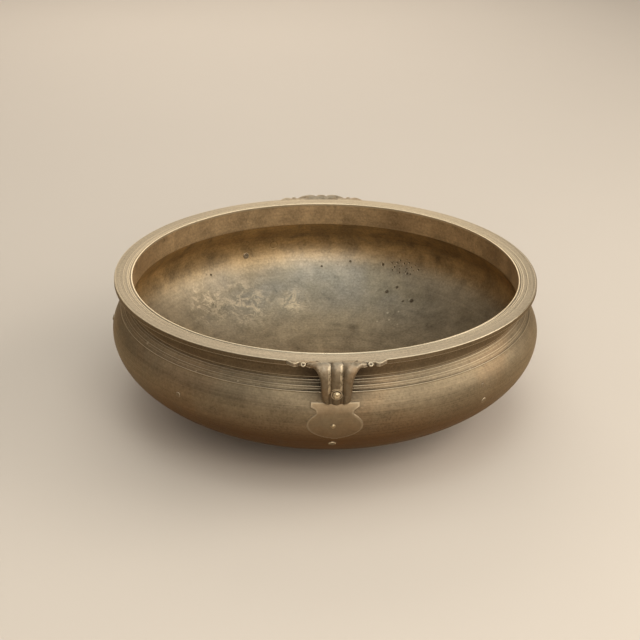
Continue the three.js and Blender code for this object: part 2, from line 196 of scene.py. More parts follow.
# Each light: its turn round the bowl from the front and its height angle in degrees, its distance
# and width in metres, its power in watts and its colour.
NEUTRAL, COOL = (1.0, 0.98, 0.95), (0.86, 0.95, 1.0)
LIGHTS = {
    "front": (5, 28, 1.9, 1.3, 18.0, NEUTRAL),
    "front_right": (45, 28, 1.9, 1.3, 10.0, NEUTRAL),
    "right": (90, 28, 1.9, 1.3, 22.0, NEUTRAL),
    "back": (185, 28, 1.9, 1.4, 14.0, NEUTRAL),
    "back_left": (228, 28, 1.9, 1.3, 1.0, NEUTRAL),
    "left": (275, 35, 1.9, 1.3, 4.0, NEUTRAL),
    "high_front": (0, 58, 1.9, 1.2, 9.5, COOL),
    "high_right": (120, 58, 1.9, 1.2, 3.0, COOL),
    "overhead": (0, 90, 2.0, 1.6, 11.0, COOL),
}

# Each turned head: its slot, its radius, height, dimple and lip in mm, and its bore as a share of
# its radius.
HEADS = {
    "lug_washer": ("lug_brass", 5.4, 1.1, 0.0, 0.75, 0.45),
    "lug_rivet": ("rivet_brass", 3.75, 3.3, 0.55, 0.0, 0.0),
    "plate_rivet": ("rivet_brass", 2.3, 1.6, 0.0, 0.0, 0.0),
    "tail_rivet": ("rivet_brass", 3.5, 1.2, 0.45, 0.35, 0.0),
}
PLUG_HEAD = (2.8, 0.25, 0.2)  # a plug's radius, dimple and lip in mm, for a pin of PLUG_PIN
PLUG_PIN = 3 * MM
MERGED = 1e-6  # vertices closer than this become one
HEAD_SINK = 0.8 * MM  # how deep a head's underside is sunk in what it sits on
KNOB_SINK = 0.3 * MM  # how deep a lug rivet's head is sunk in its washer
HEAD_WOBBLE = 0.35 * MM  # how far hammering moves a head's surface


# ---- node trees ----


class Nodes:
    """Short methods that make one tree's nodes and join them."""

    def __init__(self, tree):
        self.tree = tree
        tree.nodes.clear()

    def add(self, kind, *inputs, out=0, **settings):
        """A node with its settings and its first inputs filled, given as its output socket."""
        node = self.tree.nodes.new(kind)
        for name, value in settings.items():
            setattr(node, name, value)
        for socket, value in zip(node.inputs, inputs):
            self.feed(socket, value)
        return node.outputs[out] if node.outputs else node

    def feed(self, socket, value):
        if value is None:
            return
        if isinstance(value, bpy.types.NodeSocket):
            self.tree.links.new(value, socket)
        else:
            socket.default_value = value

    def maths(self, operation, *values, clamp=False):
        return self.add("ShaderNodeMath", *values, operation=operation, use_clamp=clamp)

    def vector(self, operation, *values, out=0):
        return self.add("ShaderNodeVectorMath", *values, operation=operation, out=out)

    def xyz(self, x=0.0, y=0.0, z=0.0):
        return self.add("ShaderNodeCombineXYZ", x, y, z)

    def parts(self, vector):
        return self.add("ShaderNodeSeparateXYZ", vector).node.outputs

    def step(self, value, low, high, start=0.0, end=1.0):
        """A smooth step from start to end as value goes from low to high."""
        return self.add(
            "ShaderNodeMapRange", value, low, high, start, end, interpolation_type="SMOOTHSTEP"
        )

    def attribute(self, name):
        return self.add("ShaderNodeAttribute", out=2, attribute_name=name)

    def noise(self, vector, scale, detail=4.0, roughness=0.55, distortion=0.0):
        node = self.tree.nodes.new("ShaderNodeTexNoise")
        self.feed(node.inputs["Vector"], vector)
        node.inputs["Scale"].default_value = scale
        node.inputs["Detail"].default_value = detail
        node.inputs["Roughness"].default_value = roughness
        node.inputs["Distortion"].default_value = distortion
        return node.outputs[0]

    def blend(self, factor, first, second):
        """Mixes two colours."""
        node = self.tree.nodes.new("ShaderNodeMix")
        node.data_type = "RGBA"
        self.feed(node.inputs[0], factor)
        for socket, value in ((node.inputs[6], first), (node.inputs[7], second)):
            linked = isinstance(value, bpy.types.NodeSocket)
            self.feed(socket, value if linked else (*value, 1.0))
        return node.outputs[2]

    def chain(self, operation, values):
        """Joins values two at a time by one operation."""
        return functools.reduce(functools.partial(self.maths, operation), values)

    def sum(self, *values):
        return self.chain("ADD", values)

    def product(self, *values):
        return self.chain("MULTIPLY", values)

    def most(self, *values):
        return self.chain("MAXIMUM", values)

    def less(self, value, amount):
        return self.maths("SUBTRACT", value, amount)

    def centred(self, value):
        """A noise value moved to run either side of nought."""
        return self.less(value, 0.5)

    def bell(self, value, middle, half):
        """A bell curve: 1 at the middle, falling off over the half width."""
        away = self.maths("DIVIDE", self.less(value, middle), half)
        return self.maths("EXPONENT", self.product(away, away, -1.0))

    def times(self, vector, amount):
        """A colour or vector times a value."""
        return self.add("ShaderNodeVectorMath", vector, None, None, amount, operation="SCALE")


# ---- finishes ----


def around(nodes):
    """The object's own coordinates, the direction from the bowl's axis, the radius and the height."""
    position = nodes.add("ShaderNodeTexCoord", out=3)
    x, y, z = nodes.parts(position)
    flat = nodes.xyz(x, y, 0.0)
    radius = nodes.vector("LENGTH", flat, out=1)
    direction = nodes.vector("NORMALIZE", flat)
    return position, direction, radius, z


def turning_lines(nodes, direction, across, pitch, hold=1.6):
    """Fine lines left by turning: they run round the bowl and change slowly along their length."""
    dx, dy, _ = nodes.parts(direction)
    place = nodes.xyz(
        nodes.product(dx, hold), nodes.product(dy, hold), nodes.product(across, 1 / pitch)
    )
    return nodes.noise(place, 1.0, detail=3.0, roughness=0.6)


def spot(nodes, position, centre, radius, soft):
    """A round patch on the metal: 1 within a share of its radius, and 0 past it."""
    away = nodes.vector("DISTANCE", position, tuple(centre), out=1)
    return nodes.step(away, radius, radius * soft)


def pitting(nodes, position, scale, size):
    """Scattered casting pits: 1 in a pit."""
    cells = nodes.tree.nodes.new("ShaderNodeTexVoronoi")
    nodes.feed(cells.inputs["Vector"], position)
    cells.inputs["Scale"].default_value = scale
    pit = nodes.step(cells.outputs["Distance"], size, size * 0.4)
    chance = nodes.step(nodes.noise(position, scale * 0.33, 2.0), 0.56, 0.66)
    return nodes.product(pit, chance)


def finish_brass(nodes, tint, rough, metal, height, reach=RELIEF):
    """The shader: aged brass with its colour, gloss and relief."""
    bump = nodes.tree.nodes.new("ShaderNodeBump")
    bump.inputs["Strength"].default_value = 1.0
    bump.inputs["Distance"].default_value = reach
    nodes.feed(bump.inputs["Height"], height)
    shader = nodes.tree.nodes.new("ShaderNodeBsdfPrincipled")
    shader.inputs["Specular Tint"].default_value = BRASS_GLINT
    looks = {
        "Base Color": tint, "Roughness": rough, "Metallic": metal, "Normal": bump.outputs["Normal"]
    }
    for name, value in looks.items():
        nodes.feed(shader.inputs[name], value)
    output = nodes.tree.nodes.new("ShaderNodeOutputMaterial")
    nodes.feed(output.inputs["Surface"], shader.outputs[0])


def new_finish(name):
    material = bpy.data.materials.new(name)
    material.use_nodes = True
    return material, Nodes(material.node_tree)


# Marks on the bowl, as (turn from the front in degrees, depth in mm, radius in mm).
CASTING_PITS = (
    (-144, 75, 1.6),
    (179, 80, 1.4),
    (170, 74, 1.7),
    (159.5, 74, 1.9),
    (151, 79, 1.7),
    (156, 98, 2.6),
    (153, 93, 2.2),
    (149, 103, 1.5),
    (146, 101, 3.0),
)
PITTED_PATCH = (152.5, 72.5, 18)
PITS_IN_PATCH = 18
NICKS_INSIDE = (
    (152.5, 113.4, 2.0),
    (148.5, 111, 1.6),
    (150.5, 117.5, 2.0),
    (155, 120, 1.7),
    (146, 119, 1.5),
)
NICKS_OUTSIDE = ((-58.5, 29.6, 2.4), (-37.6, 32.1, 1.3), (-25, 31.3, 1.2), (39, 32.4, 1.3))
SMUDGES = ((165, 125.6, 9), (175.5, 6, 4.5), (141, 54, 12))
RING_MARK = (-166, 52, 5.2)
TAN_PATCHES = ((-139, 100, 38), (-152, 108, 46), (-170, 110, 26))
WARM_PATCHES = ((-160, 34, 60),)
NECK_STAINS = ((153, 13, 38), (-152, 12, 22), (-104, 12, 44), (112, 14, 30))
GOLDEN_TURN = 2.4  # radians between one scattered pit and the next


class BowlMarks:
    """The bowl's finish while it is made, with the noises and the places that its parts share."""

    def __init__(self, nodes, shades, bowl):
        self.nodes, self.shades, self.bowl = nodes, shades, bowl
        self.position, self.direction, self.radius, self.z = around(nodes)
        self.x, _, _ = nodes.parts(self.position)
        self.inside, self.rim, self.crest, self.arc = map(
            nodes.attribute, ("inside", "rim", "crest", "arc")
        )
        self.cloud = nodes.noise(self.position, 11.0, 4.0, 0.55, 0.4)
        self.blotch = nodes.noise(self.position, 48.0, 7.0, 0.62, 0.5)
        self.speck = nodes.noise(self.position, 420.0, 5.0, 0.7)
        self.lines = turning_lines(nodes, self.direction, self.arc, 0.75 * MM)
        self.broad = turning_lines(nodes, self.direction, self.arc, 4.5 * MM, hold=1.1)

    def patch(self, turn, depth, reach, soft, inside=True):
        """A round patch on the wall."""
        off = -self.bowl.sizes.wall if inside else 0.0
        centre = self.bowl.wall_point(math.radians(turn), depth * MM, off)
        return spot(self.nodes, self.position, centre, reach * MM, soft)

    def any_of(self, patches, soft, inside=True):
        return self.nodes.most(*[self.patch(*each, soft, inside) for each in patches])

    def outer(self):
        """Outside: olive brown with redder patches, darker reddish brown low down, dirt and painted
        shade under the rim and by the lugs.
        """
        nodes, shades, z = self.nodes, self.shades, self.z
        height, neck_foot = self.bowl.top, self.bowl.top - self.bowl.sizes.neck_depth
        tint = nodes.blend(nodes.step(self.cloud, 0.48, 0.66, 0.0, 0.45), shades.outside, shades.rust)
        # Low down the wall blends to a darker reddish brown: patina, darkened further as painted
        # shade.
        tint = nodes.blend(nodes.step(z, height * 0.66, height * 0.36), tint, shades.low)
        # Under the rim the wall darkens to grime: partly dirt, partly painted shade.
        under = nodes.step(z, neck_foot - 4 * MM, neck_foot + 6 * MM, 0.0, 0.75)
        tint = nodes.blend(under, tint, shades.grime_and_shade)
        # Beside each lug the wall darkens to soot: painted shadow of the strap, and dirt.
        lug_shadow_and_dirt = []
        for side in SIDES:
            middle = middle_of(f"{side}_lug")
            middle.y *= 0.9
            lug_shadow_and_dirt.append(spot(nodes, self.position, middle, 50 * MM, 0.35))
        return nodes.blend(nodes.product(nodes.most(*lug_shadow_and_dirt), 0.85), tint, shades.soot_and_shadow)

    def inner(self):
        """Inside: warm under the neck, grey-olive below, with speckled tan patches."""
        nodes, shades, z, x = self.nodes, self.shades, self.z, self.x
        neck_foot = self.bowl.top - self.bowl.sizes.neck_depth
        under_neck = nodes.product(
            nodes.step(z, neck_foot - 58 * MM, neck_foot - 18 * MM),
            nodes.step(self.blotch, 0.3, 0.6, 0.7, 1.0),
        )
        aside = nodes.most(
            nodes.step(x, 0.02, 0.16, 0.0, 0.5), nodes.step(x, -0.05, -0.17, 0.0, 0.5)
        )
        speckle = nodes.step(nodes.noise(self.position, 75.0, 8.0, 0.72, 0.8), 0.44, 0.58)
        tan = nodes.product(self.any_of(TAN_PATCHES, 0.1), speckle)
        tint = nodes.blend(nodes.step(self.cloud, 0.42, 0.62, 0.0, 0.35), shades.inside, shades.olive)
        for mask, shade in (
            (aside, shades.umber),
            (under_neck, shades.warm),
            (nodes.product(self.any_of(WARM_PATCHES, 0.1), 0.55), shades.warm),
            (nodes.step(z, 46 * MM, 16 * MM, 0.0, 0.8), shades.bed),
            (nodes.product(tan, 0.85), shades.tan),
            (nodes.step(z, neck_foot - 1 * MM, neck_foot + 1 * MM, 0.0, 0.85), shades.neck),
            (nodes.product(self.any_of(NECK_STAINS, 0.1), 0.55), shades.rust),
        ):
            tint = nodes.blend(mask, tint, shade)
        return tint

    def mottled(self, tint):
        """The tint made lighter and darker by the turning lines, blotches and specks."""
        nodes = self.nodes
        fine = nodes.product(
            nodes.centred(self.lines), 0.8, nodes.sum(1.0, nodes.product(self.inside, -0.8))
        )
        patchy = nodes.product(
            nodes.centred(self.blotch), nodes.sum(0.65, nodes.product(self.inside, 0.55))
        )
        broad = nodes.product(nodes.centred(self.broad), 0.45)
        specks = nodes.product(nodes.centred(self.speck), 1.25)
        return nodes.times(tint, nodes.sum(1.0, fine, broad, patchy, specks))

    def scattered_pits(self):
        """Small pits spread evenly over the pitted patch by a golden spiral."""
        turn, depth, reach = PITTED_PATCH
        for i in range(PITS_IN_PATCH):
            share, angle = math.sqrt((i + 0.5) / PITS_IN_PATCH), GOLDEN_TURN * i
            across = math.degrees(share * math.cos(angle) * reach * MM / self.bowl.rim)
            down = 0.5 * reach * share * math.sin(angle)
            yield turn + across, depth + down, 0.9 + 0.25 * (i % 3)

    def pits(self):
        """Casting pits: fine ones all over, and larger ones in their places."""
        cells = pitting(self.nodes, self.position, 260.0, 0.22)
        return self.nodes.most(
            self.nodes.product(cells, 0.4),
            self.any_of(CASTING_PITS, 0.45),
            self.any_of(self.scattered_pits(), 0.3),
        )

    def ring(self):
        """The ring left inside by something that stood there."""
        turn, depth, reach = RING_MARK
        return self.nodes.less(
            self.patch(turn, depth, reach, 0.8), self.patch(turn, depth, reach * 0.75, 0.75)
        )

    def wear(self):
        """Bright metal on crests, on the rim's inner bead and in nicks."""
        nodes, top, edge = self.nodes, self.bowl.top, self.bowl.neck_inner
        bead = nodes.product(
            nodes.step(self.radius, edge + 2.1 * MM, edge + 1.3 * MM),
            nodes.step(self.z, top - 2.4 * MM, top - 1.2 * MM, 0.0, 1.2),
        )
        nicks = nodes.most(
            self.any_of(NICKS_INSIDE, 0.3), self.any_of(NICKS_OUTSIDE, 0.2, inside=False)
        )
        return nodes.most(nodes.step(self.crest, 0.1, 0.9), bead, nodes.product(nicks, 0.7))


def bowl_finish(shades, bowl):
    """The bowl's patina: a rubbed rim, an olive-brown outside that reddens below, a greyer inside."""
    material, nodes = new_finish("cast_brass_patina")
    marks = BowlMarks(nodes, shades, bowl)
    inside, rim = marks.inside, marks.rim
    tint = nodes.blend(inside, marks.outer(), marks.inner())
    # The rim's top face darkens towards the left: painted shade.
    top = nodes.blend(nodes.step(marks.x, -0.02, -0.17), shades.rim, shades.rim_left_painted_shade)
    tint = marks.mottled(nodes.blend(rim, tint, top))

    pits, ring, wear = marks.pits(), marks.ring(), marks.wear()
    smudges = nodes.product(marks.any_of(SMUDGES, 0.0), 0.6)
    dark = nodes.most(pits, nodes.product(ring, 0.25), smudges)
    tint = nodes.blend(nodes.product(dark, 0.75), tint, shades.soot_and_shadow)
    tint = nodes.blend(nodes.product(wear, 0.6), tint, shades.worn)
    dirt = nodes.step(marks.crest, -0.08, -0.8)
    tint = nodes.blend(nodes.product(dirt, 0.16), tint, shades.soot_and_shadow)

    rough = nodes.sum(
        0.48,
        nodes.product(nodes.centred(marks.blotch), 0.25),
        nodes.product(rim, -0.05),
        nodes.product(inside, -0.05),
        nodes.product(wear, -0.1),
    )
    height = nodes.sum(
        nodes.product(marks.lines, nodes.sum(0.45, nodes.product(inside, -0.38))),
        nodes.product(marks.blotch, 0.25),
        nodes.product(marks.speck, 0.35),
        nodes.product(pits, -1.2),
        nodes.product(ring, -0.5),
    )
    finish_brass(nodes, tint, rough, 0.85, height)
    return material


def cast_finish(name, base, shades, bright=0.75, dark=0.75, gloss=0.0, grooves=None):
    """Cast brass on the lugs and fittings: rubbed bright on its crests, with dirt in its hollows."""
    material, nodes = new_finish(name)
    position = nodes.add("ShaderNodeTexCoord", out=3)
    crest = nodes.attribute("crest")
    cloud = nodes.noise(position, 60.0, 5.0, 0.6, 0.3)
    mottle = nodes.noise(position, 260.0, 6.0, 0.65)
    grain = nodes.noise(position, 1100.0, 3.0, 0.6)
    if grooves:
        # The lug's top is rubbed as the rim is.
        middle, half, top, foot = grooves
        x, _, z = nodes.parts(position)
        base = nodes.blend(nodes.step(z, top - 6 * MM, top + 1 * MM), base, shades.rim)
    rubbed = nodes.step(crest, 0.12, 0.75)
    tint = base
    for mask, shade in (
        (nodes.step(cloud, 0.42, 0.68, 0.0, 0.7), shades.rust),
        (nodes.step(mottle, 0.52, 0.36, 0.0, 0.5), shades.grime_and_shade),
        (nodes.product(rubbed, bright), shades.worn),
        (nodes.product(nodes.step(crest, -0.05, -0.5), dark), shades.soot_and_shadow),
    ):
        tint = nodes.blend(mask, tint, shade)
    if grooves:
        # Painted highlight: the walls of the two grooves that face right are lightened to the worn
        # colour, and made glossier.
        lean, _, _ = nodes.parts(nodes.add("ShaderNodeNewGeometry", out=1))
        wall = nodes.product(
            nodes.step(nodes.maths("ABSOLUTE", nodes.less(x, middle)), half + 1 * MM, half),
            nodes.product(
                nodes.step(z, foot - 2 * MM, foot), nodes.step(z, top + 2 * MM, top)
            ),
            nodes.step(lean, 0.3, 0.6),
            nodes.step(mottle, 0.38, 0.56, 0.2, 1.0),
        )
        tint = nodes.blend(wall, tint, shades.worn)
        rubbed = nodes.most(rubbed, wall)
    rough = nodes.sum(0.44 - gloss, nodes.product(mottle, 0.14), nodes.product(rubbed, -0.14))
    height = nodes.sum(nodes.product(mottle, 0.8), nodes.product(grain, 0.4))
    finish_brass(nodes, tint, rough, 0.82, height)
    return material


def plate_finish(shades, bowl):
    """The shield plates' patina: as the wall round them, a little redder, with thin worn edges."""
    material, nodes = new_finish("plate_brass_patina")
    position, direction, _, z = around(nodes)
    crest = nodes.attribute("crest")
    cloud = nodes.noise(position, 16.0, 5.0, 0.6, 0.4)
    blotch = nodes.noise(position, 90.0, 7.0, 0.62, 0.5)
    speck = nodes.noise(position, 380.0, 4.0, 0.62)
    lines = turning_lines(nodes, direction, z, 0.8 * MM)
    tint = nodes.blend(nodes.step(cloud, 0.4, 0.62, 0.0, 0.45), shades.outside, shades.rust)
    # Low down the plate blends to a darker reddish brown: patina, darkened further as painted shade.
    tint = nodes.blend(nodes.step(z, bowl.top * 0.62, bowl.top * 0.24), tint, shades.low)
    layers = ((lines, 0.35), (blotch, 0.6), (speck, 0.5))
    value = nodes.sum(1.0, *[nodes.product(nodes.centred(layer), part) for layer, part in layers])
    tint = nodes.times(tint, value)
    tint = nodes.blend(nodes.step(crest, 0.3, 1.0, 0.0, 0.18), tint, shades.worn)
    tint = nodes.blend(nodes.step(crest, -0.1, -0.7, 0.0, 0.6), tint, shades.soot_and_shadow)
    height = nodes.sum(
        nodes.product(lines, 0.25), nodes.product(blotch, 0.4), nodes.product(speck, 0.25)
    )
    finish_brass(nodes, tint, 0.47, 0.85, height)
    return material


# ---- the bowl's shape ----


LIP_ROUND = 1.2 * MM  # the rounding of the neck's lower edge inside
LIP_TURN = math.radians(50)


class BowlShape:
    """The bowl's profile, worked out from its sizes. A reach is a distance from the bowl's axis."""

    # Each ridge or turned line on the collar: its depth, height and half width in mm.
    RIDGES = (
        (21.6, 0.1, 0.4),
        (24.0, 0.28, 0.6),
        (26.0, 0.12, 0.35),
        (28.6, 0.3, 0.6),
        (30.4, 0.12, 0.35),
        (32.6, 0.75, 0.7),
    )
    # Each groove in the rim's top face: how far it is from the inner edge, its cut and half width.
    RIM_GROOVES = ((4.4, 0.28, 0.35), (8.6, 0.2, 0.35), (2.6, 0.22, 0.45), (15.6, 0.12, 0.5))

    def __init__(self, sizes):
        self.sizes = sizes
        self.top = sizes.height
        self.belly = sizes.belly_radius
        self.rim = self.belly - sizes.belly_overhang
        self.neck_inner = self.rim - sizes.rim_width
        self.neck_outer = self.neck_inner + sizes.wall
        self.shoulder = self.belly - sizes.shoulder_fall
        self.collar_depth = sizes.neck_depth - 1.2 * MM

    def reach(self, depth):
        """How far the outer wall stands from the axis at a depth below the shoulder."""
        s = self.sizes
        if depth <= s.belly_depth:
            share = (s.belly_depth - depth) / (s.belly_depth - s.shoulder_depth)
            return self.belly - s.shoulder_fall * share**2
        turn = math.asin(min(1.0, (depth - s.belly_depth) / (self.top - s.belly_depth)))
        return s.base_radius + (self.belly - s.base_radius) * math.cos(turn) ** s.fullness

    def normal(self, depth):
        """The outer wall's (outward, upward) normal at a depth."""
        step = 0.5 * MM
        slope = (self.reach(depth + step) - self.reach(depth - step)) / (2 * step)
        size = math.hypot(1.0, slope)
        return 1.0 / size, slope / size

    def wall_point(self, angle, depth, off=0.0):
        """A point off the outer wall, its angle counted from the front."""
        out, up = self.normal(depth)
        reach = self.reach(depth) + off * out
        height = self.top - depth + off * up
        return Vector((reach * math.sin(angle), -reach * math.cos(angle), height))

    def wall_normal(self, angle, depth):
        out, up = self.normal(depth)
        return Vector((out * math.sin(angle), -out * math.cos(angle), up))

    def collar(self, depth):
        """The sloping collar between neck and shoulder, with its ridges."""
        s = self.sizes
        share = ramp(depth, self.collar_depth, s.shoulder_depth - self.collar_depth)
        reach = self.neck_outer + (self.shoulder - self.neck_outer) * share
        for at, proud, half in self.RIDGES:
            away = abs(depth - at * MM) / (half * MM)
            reach += proud * MM * math.exp(-(away**2) * 1.6)
        return reach

    def body_line(self, steps, shoulder_steps, off=0.0):
        """The belly and lower body from the foot's edge to the shoulder, moved in by off."""
        s = self.sizes
        depths = [
            s.belly_depth + (self.top - s.belly_depth) * math.sin(math.pi / 2 * i / steps)
            for i in range(steps - 1, -1, -1)
        ]
        depths += list(np.linspace(s.belly_depth, s.shoulder_depth, shoulder_steps + 1)[1:])
        line = [(s.base_radius, off)]
        for depth in depths:
            out, up = self.normal(min(depth, self.top - 0.6 * MM))
            line.append((self.reach(depth) - off * out, self.top - depth - off * up))
        return line

    def rim_top(self, reach):
        """The height of the rim's top face, with its grooves and the bead along its inner edge."""
        s = self.sizes
        into = reach - self.neck_inner
        height = self.top
        for at, cut, half in self.RIM_GROOVES:
            height -= cut * MM * math.exp(-(((into - at * MM) / (half * MM)) ** 2))
        across = (into - s.bead_width / 2) / (s.bead_width / 2)
        if abs(across) < 1:
            height += s.bead_height * math.sqrt(1 - across**2)
        return height

    def sections(self):
        """The closed profile as (name, points), up the outside from the foot and down the inside."""
        s = self.sizes
        edge, fillet = s.edge_round, s.neck_fillet
        under = self.top - s.rim_thickness
        quarter = math.pi / 2

        def upright(reach, depths):
            return [(reach, self.top - d) for d in depths]

        def bend(centre, radius, first, last, steps):
            """An arc round a centre from one angle to another, without its first point."""
            angles = np.linspace(first, last, steps + 1)[1:]
            return [
                (centre[0] + radius * math.cos(t), centre[1] + radius * math.sin(t)) for t in angles
            ]

        foot = [(s.base_radius * k / 5, 0.0) for k in range(5)]
        fine = np.arange(s.shoulder_depth - 0.2 * MM, self.collar_depth - 1.4 * MM, -0.2 * MM)
        collar = [(self.collar(d), self.top - d) for d in fine]
        neck_depths = np.linspace(self.collar_depth - 1.6 * MM, s.rim_thickness + fillet, 7)
        shelf = np.linspace(self.neck_outer + fillet, self.rim - edge, 5)[1:]
        outside = (
            foot
            + self.body_line(44, 12)
            + collar
            + upright(self.neck_outer, neck_depths)
            + bend((self.neck_outer + fillet, under - fillet), fillet, 2 * quarter, quarter, 5)
            + [(r, under) for r in shelf]
            + bend((self.rim - edge, under + edge), edge, -quarter, 0, 4)
            + [(self.rim, z) for z in np.linspace(under + edge, self.top - edge, 4)[1:]]
        )
        bead = np.cos(np.linspace(0, math.pi, 10))[1:]
        tops = np.concatenate([
            np.linspace(self.rim - edge, self.neck_inner + s.bead_width, 46)[1:],
            self.neck_inner + s.bead_width / 2 * (1 + bead),
        ])
        rim = bend((self.rim - edge, self.top - edge), edge, 0, quarter, 4)
        rim += [(r, self.rim_top(r)) for r in tops]
        corner = LIP_ROUND
        lip = bend(
            (self.neck_inner + corner, self.top - s.neck_depth + corner),
            corner, 2 * quarter, 2 * quarter + LIP_TURN, 4,
        )
        inner = self.body_line(34, 9, off=s.wall)[::-1]
        slope = np.linspace(lip[-1], inner[0], 9)[1:-1]
        throat = upright(self.neck_inner, np.linspace(0.5 * MM, s.neck_depth - corner, 9))
        floor = [(s.base_radius * k / 4, s.wall) for k in range(3, -1, -1)]
        inside = throat + lip + [tuple(p) for p in slope] + inner + floor
        return [("outside", outside), ("rim", rim), ("inside", inside)]


# ---- meshes ----


def mesh_object(name, vertices, faces):
    mesh = bpy.data.meshes.new(name)
    sides = [tuple(int(i) for i in face) for face in faces]
    mesh.from_pydata([tuple(v) for v in vertices], [], sides)
    made = bpy.data.objects.new(name, mesh)
    bpy.context.scene.collection.objects.link(made)
    return made


def set_attribute(made, name, values):
    layer = made.data.attributes.new(name, "FLOAT", "POINT")
    layer.data.foreach_set("value", np.asarray(values, dtype=np.float32))


def vertex_vectors(made, what="co"):
    """The mesh's vertex positions, or with "normal" their normals, as rows."""
    values = np.empty(len(made.data.vertices) * 3, np.float32)
    made.data.vertices.foreach_get(what, values)
    return values.reshape(-1, 3).astype(float)


def move_points(made, points):
    made.data.vertices.foreach_set("co", np.asarray(points, np.float32).ravel())
    made.data.update()


def turn_to_back(made):
    """Turns a front piece half round the bowl's axis."""
    points = vertex_vectors(made)
    points[:, :2] *= -1
    move_points(made, points)


def made_plain(made, name):
    """The object with its modifiers carried out, as a new plain mesh at the origin."""
    depsgraph = bpy.context.evaluated_depsgraph_get()
    mesh = bpy.data.meshes.new_from_object(made.evaluated_get(depsgraph), depsgraph=depsgraph)
    mesh.name = name
    source = made.data
    made.modifiers.clear()
    made.data = mesh
    if source.users == 0:
        bpy.data.meshes.remove(source)
    made.name = name
    return made


def neighbour_mean(made, values):
    """Each vertex's mean of its neighbours' values."""
    edges = np.empty(len(made.data.edges) * 2, np.int64)
    made.data.edges.foreach_get("vertices", edges)
    a, b = edges.reshape(-1, 2).T
    total = np.zeros_like(values, dtype=float)
    count = np.zeros(len(values))
    np.add.at(total, a, values[b])
    np.add.at(total, b, values[a])
    np.add.at(count, a, 1)
    np.add.at(count, b, 1)
    count = np.maximum(count, 1)
    return total / (count[:, None] if values.ndim > 1 else count)


def mark_crests(made, scale, rounds):
    """Stores how much the surface bulges (above 0) or dips (below 0) at each vertex."""
    points, normals = vertex_vectors(made), vertex_vectors(made, "normal")
    smooth = points
    for _ in range(rounds + 1):
        smooth = neighbour_mean(made, smooth)
    crest = np.einsum("ij,ij->i", points - smooth, normals) / scale
    for _ in range(rounds):
        crest = neighbour_mean(made, crest)
    set_attribute(made, "crest", np.clip(crest, -1, 1))


def smooth_shaded(made):
    made.data.shade_smooth()
    return made


def hand_over(made, slot, material, *nodes):
    """Gives a finished piece its material and smooth shading, hangs it under the body and hides its
    frame nodes.
    """
    made.data.materials.clear()
    made.data.materials.append(material)
    smooth_shaded(made)
    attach(made, BODY)
    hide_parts(*nodes)
    return made


# ---- geometry node trees ----


def geometry_tree(name, **inputs):
    """An empty geometry tree with a Geometry input, the named inputs of each kind and a Material."""
    tree = bpy.data.node_groups.new(name, "GeometryNodeTree")
    for label, kind in {"Geometry": "Geometry", **inputs, "Material": "Material"}.items():
        tree.interface.new_socket(label, in_out="INPUT", socket_type=f"NodeSocket{kind}")
    tree.interface.new_socket("Geometry", in_out="OUTPUT", socket_type="NodeSocketGeometry")
    nodes = Nodes(tree)
    start = tree.nodes.new("NodeGroupInput")
    return tree, nodes, start.outputs


def end_tree(nodes, geometry, material):
    """Ends a tree with real geometry and its material set."""
    real = nodes.add("GeometryNodeRealizeInstances", geometry)
    painted = nodes.add("GeometryNodeSetMaterial", real, None, material)
    last = nodes.tree.nodes.new("NodeGroupOutput")
    nodes.feed(last.inputs[0], painted)


def run_tree(made, tree, **values):
    """Adds the tree to an object with its inputs set by their identifiers."""
    modifier = made.modifiers.new(tree.name, "NODES")
    modifier.node_group = tree
    for item in tree.interface.items_tree:
        if item.item_type == "SOCKET" and item.in_out == "INPUT" and item.name in values:
            modifier[item.identifier] = values[item.name]


def lathe_tree():
    """Turns a profile of vertices about Z, with its marks, and lets the casting stray from round."""
    tree, nodes, given = geometry_tree(
        "turned_casting", Steps="Int", Unevenness="Float", Seed="Float"
    )
    profile, steps = given["Geometry"], given["Steps"]
    count = nodes.add("GeometryNodeAttributeDomainSize", profile)
    grid = nodes.add("GeometryNodeMeshGrid", 1.0, 1.0, nodes.sum(steps, 1), count)
    gx, gy, _ = nodes.parts(nodes.add("GeometryNodeInputPosition"))
    turn = nodes.product(nodes.sum(gx, 0.5), math.tau)
    row = nodes.maths("ROUND", nodes.product(nodes.sum(gy, 0.5), nodes.less(count, 1)))

    def sampled(value, kind):
        node = nodes.tree.nodes.new("GeometryNodeSampleIndex")
        node.data_type = kind
        nodes.feed(node.inputs[0], profile)
        nodes.feed(node.inputs[1], value)
        nodes.feed(node.inputs["Index"], row)
        return node.outputs[0]

    marked = grid
    for name in ("inside", "rim", "crest", "arc"):
        named = nodes.add("GeometryNodeInputNamedAttribute", name, data_type="FLOAT")
        marked = nodes.add(
            "GeometryNodeStoreNamedAttribute", marked, None, name, sampled(named, "FLOAT"),
            data_type="FLOAT", domain="POINT",
        )
    profile_place = sampled(nodes.add("GeometryNodeInputPosition"), "FLOAT_VECTOR")
    radius, _, height = nodes.parts(profile_place)
    east, north = nodes.maths("SINE", turn), nodes.product(nodes.maths("COSINE", turn), -1.0)
    place = nodes.xyz(
        nodes.product(east, 1.3),
        nodes.product(north, 1.3),
        nodes.sum(nodes.product(height, 14.0), given["Seed"]),
    )
    stray = nodes.centred(nodes.noise(place, 1.5, 2.0, 0.5))
    hold = nodes.step(radius, 0.02, 0.1)
    reach = nodes.sum(radius, nodes.product(stray, 2.0, given["Unevenness"], hold))
    spun = nodes.xyz(nodes.product(reach, east), nodes.product(reach, north), height)
    placed = nodes.add("GeometryNodeSetPosition", marked, None, spun)
    merged = nodes.add("GeometryNodeMergeByDistance", placed, None, MERGED)
    end_tree(nodes, merged, given["Material"])
    return tree


RIM_WEAR, WALL_WEAR = 0.9 * MM, 0.65 * MM  # the bend's radius at which an edge is fully worn


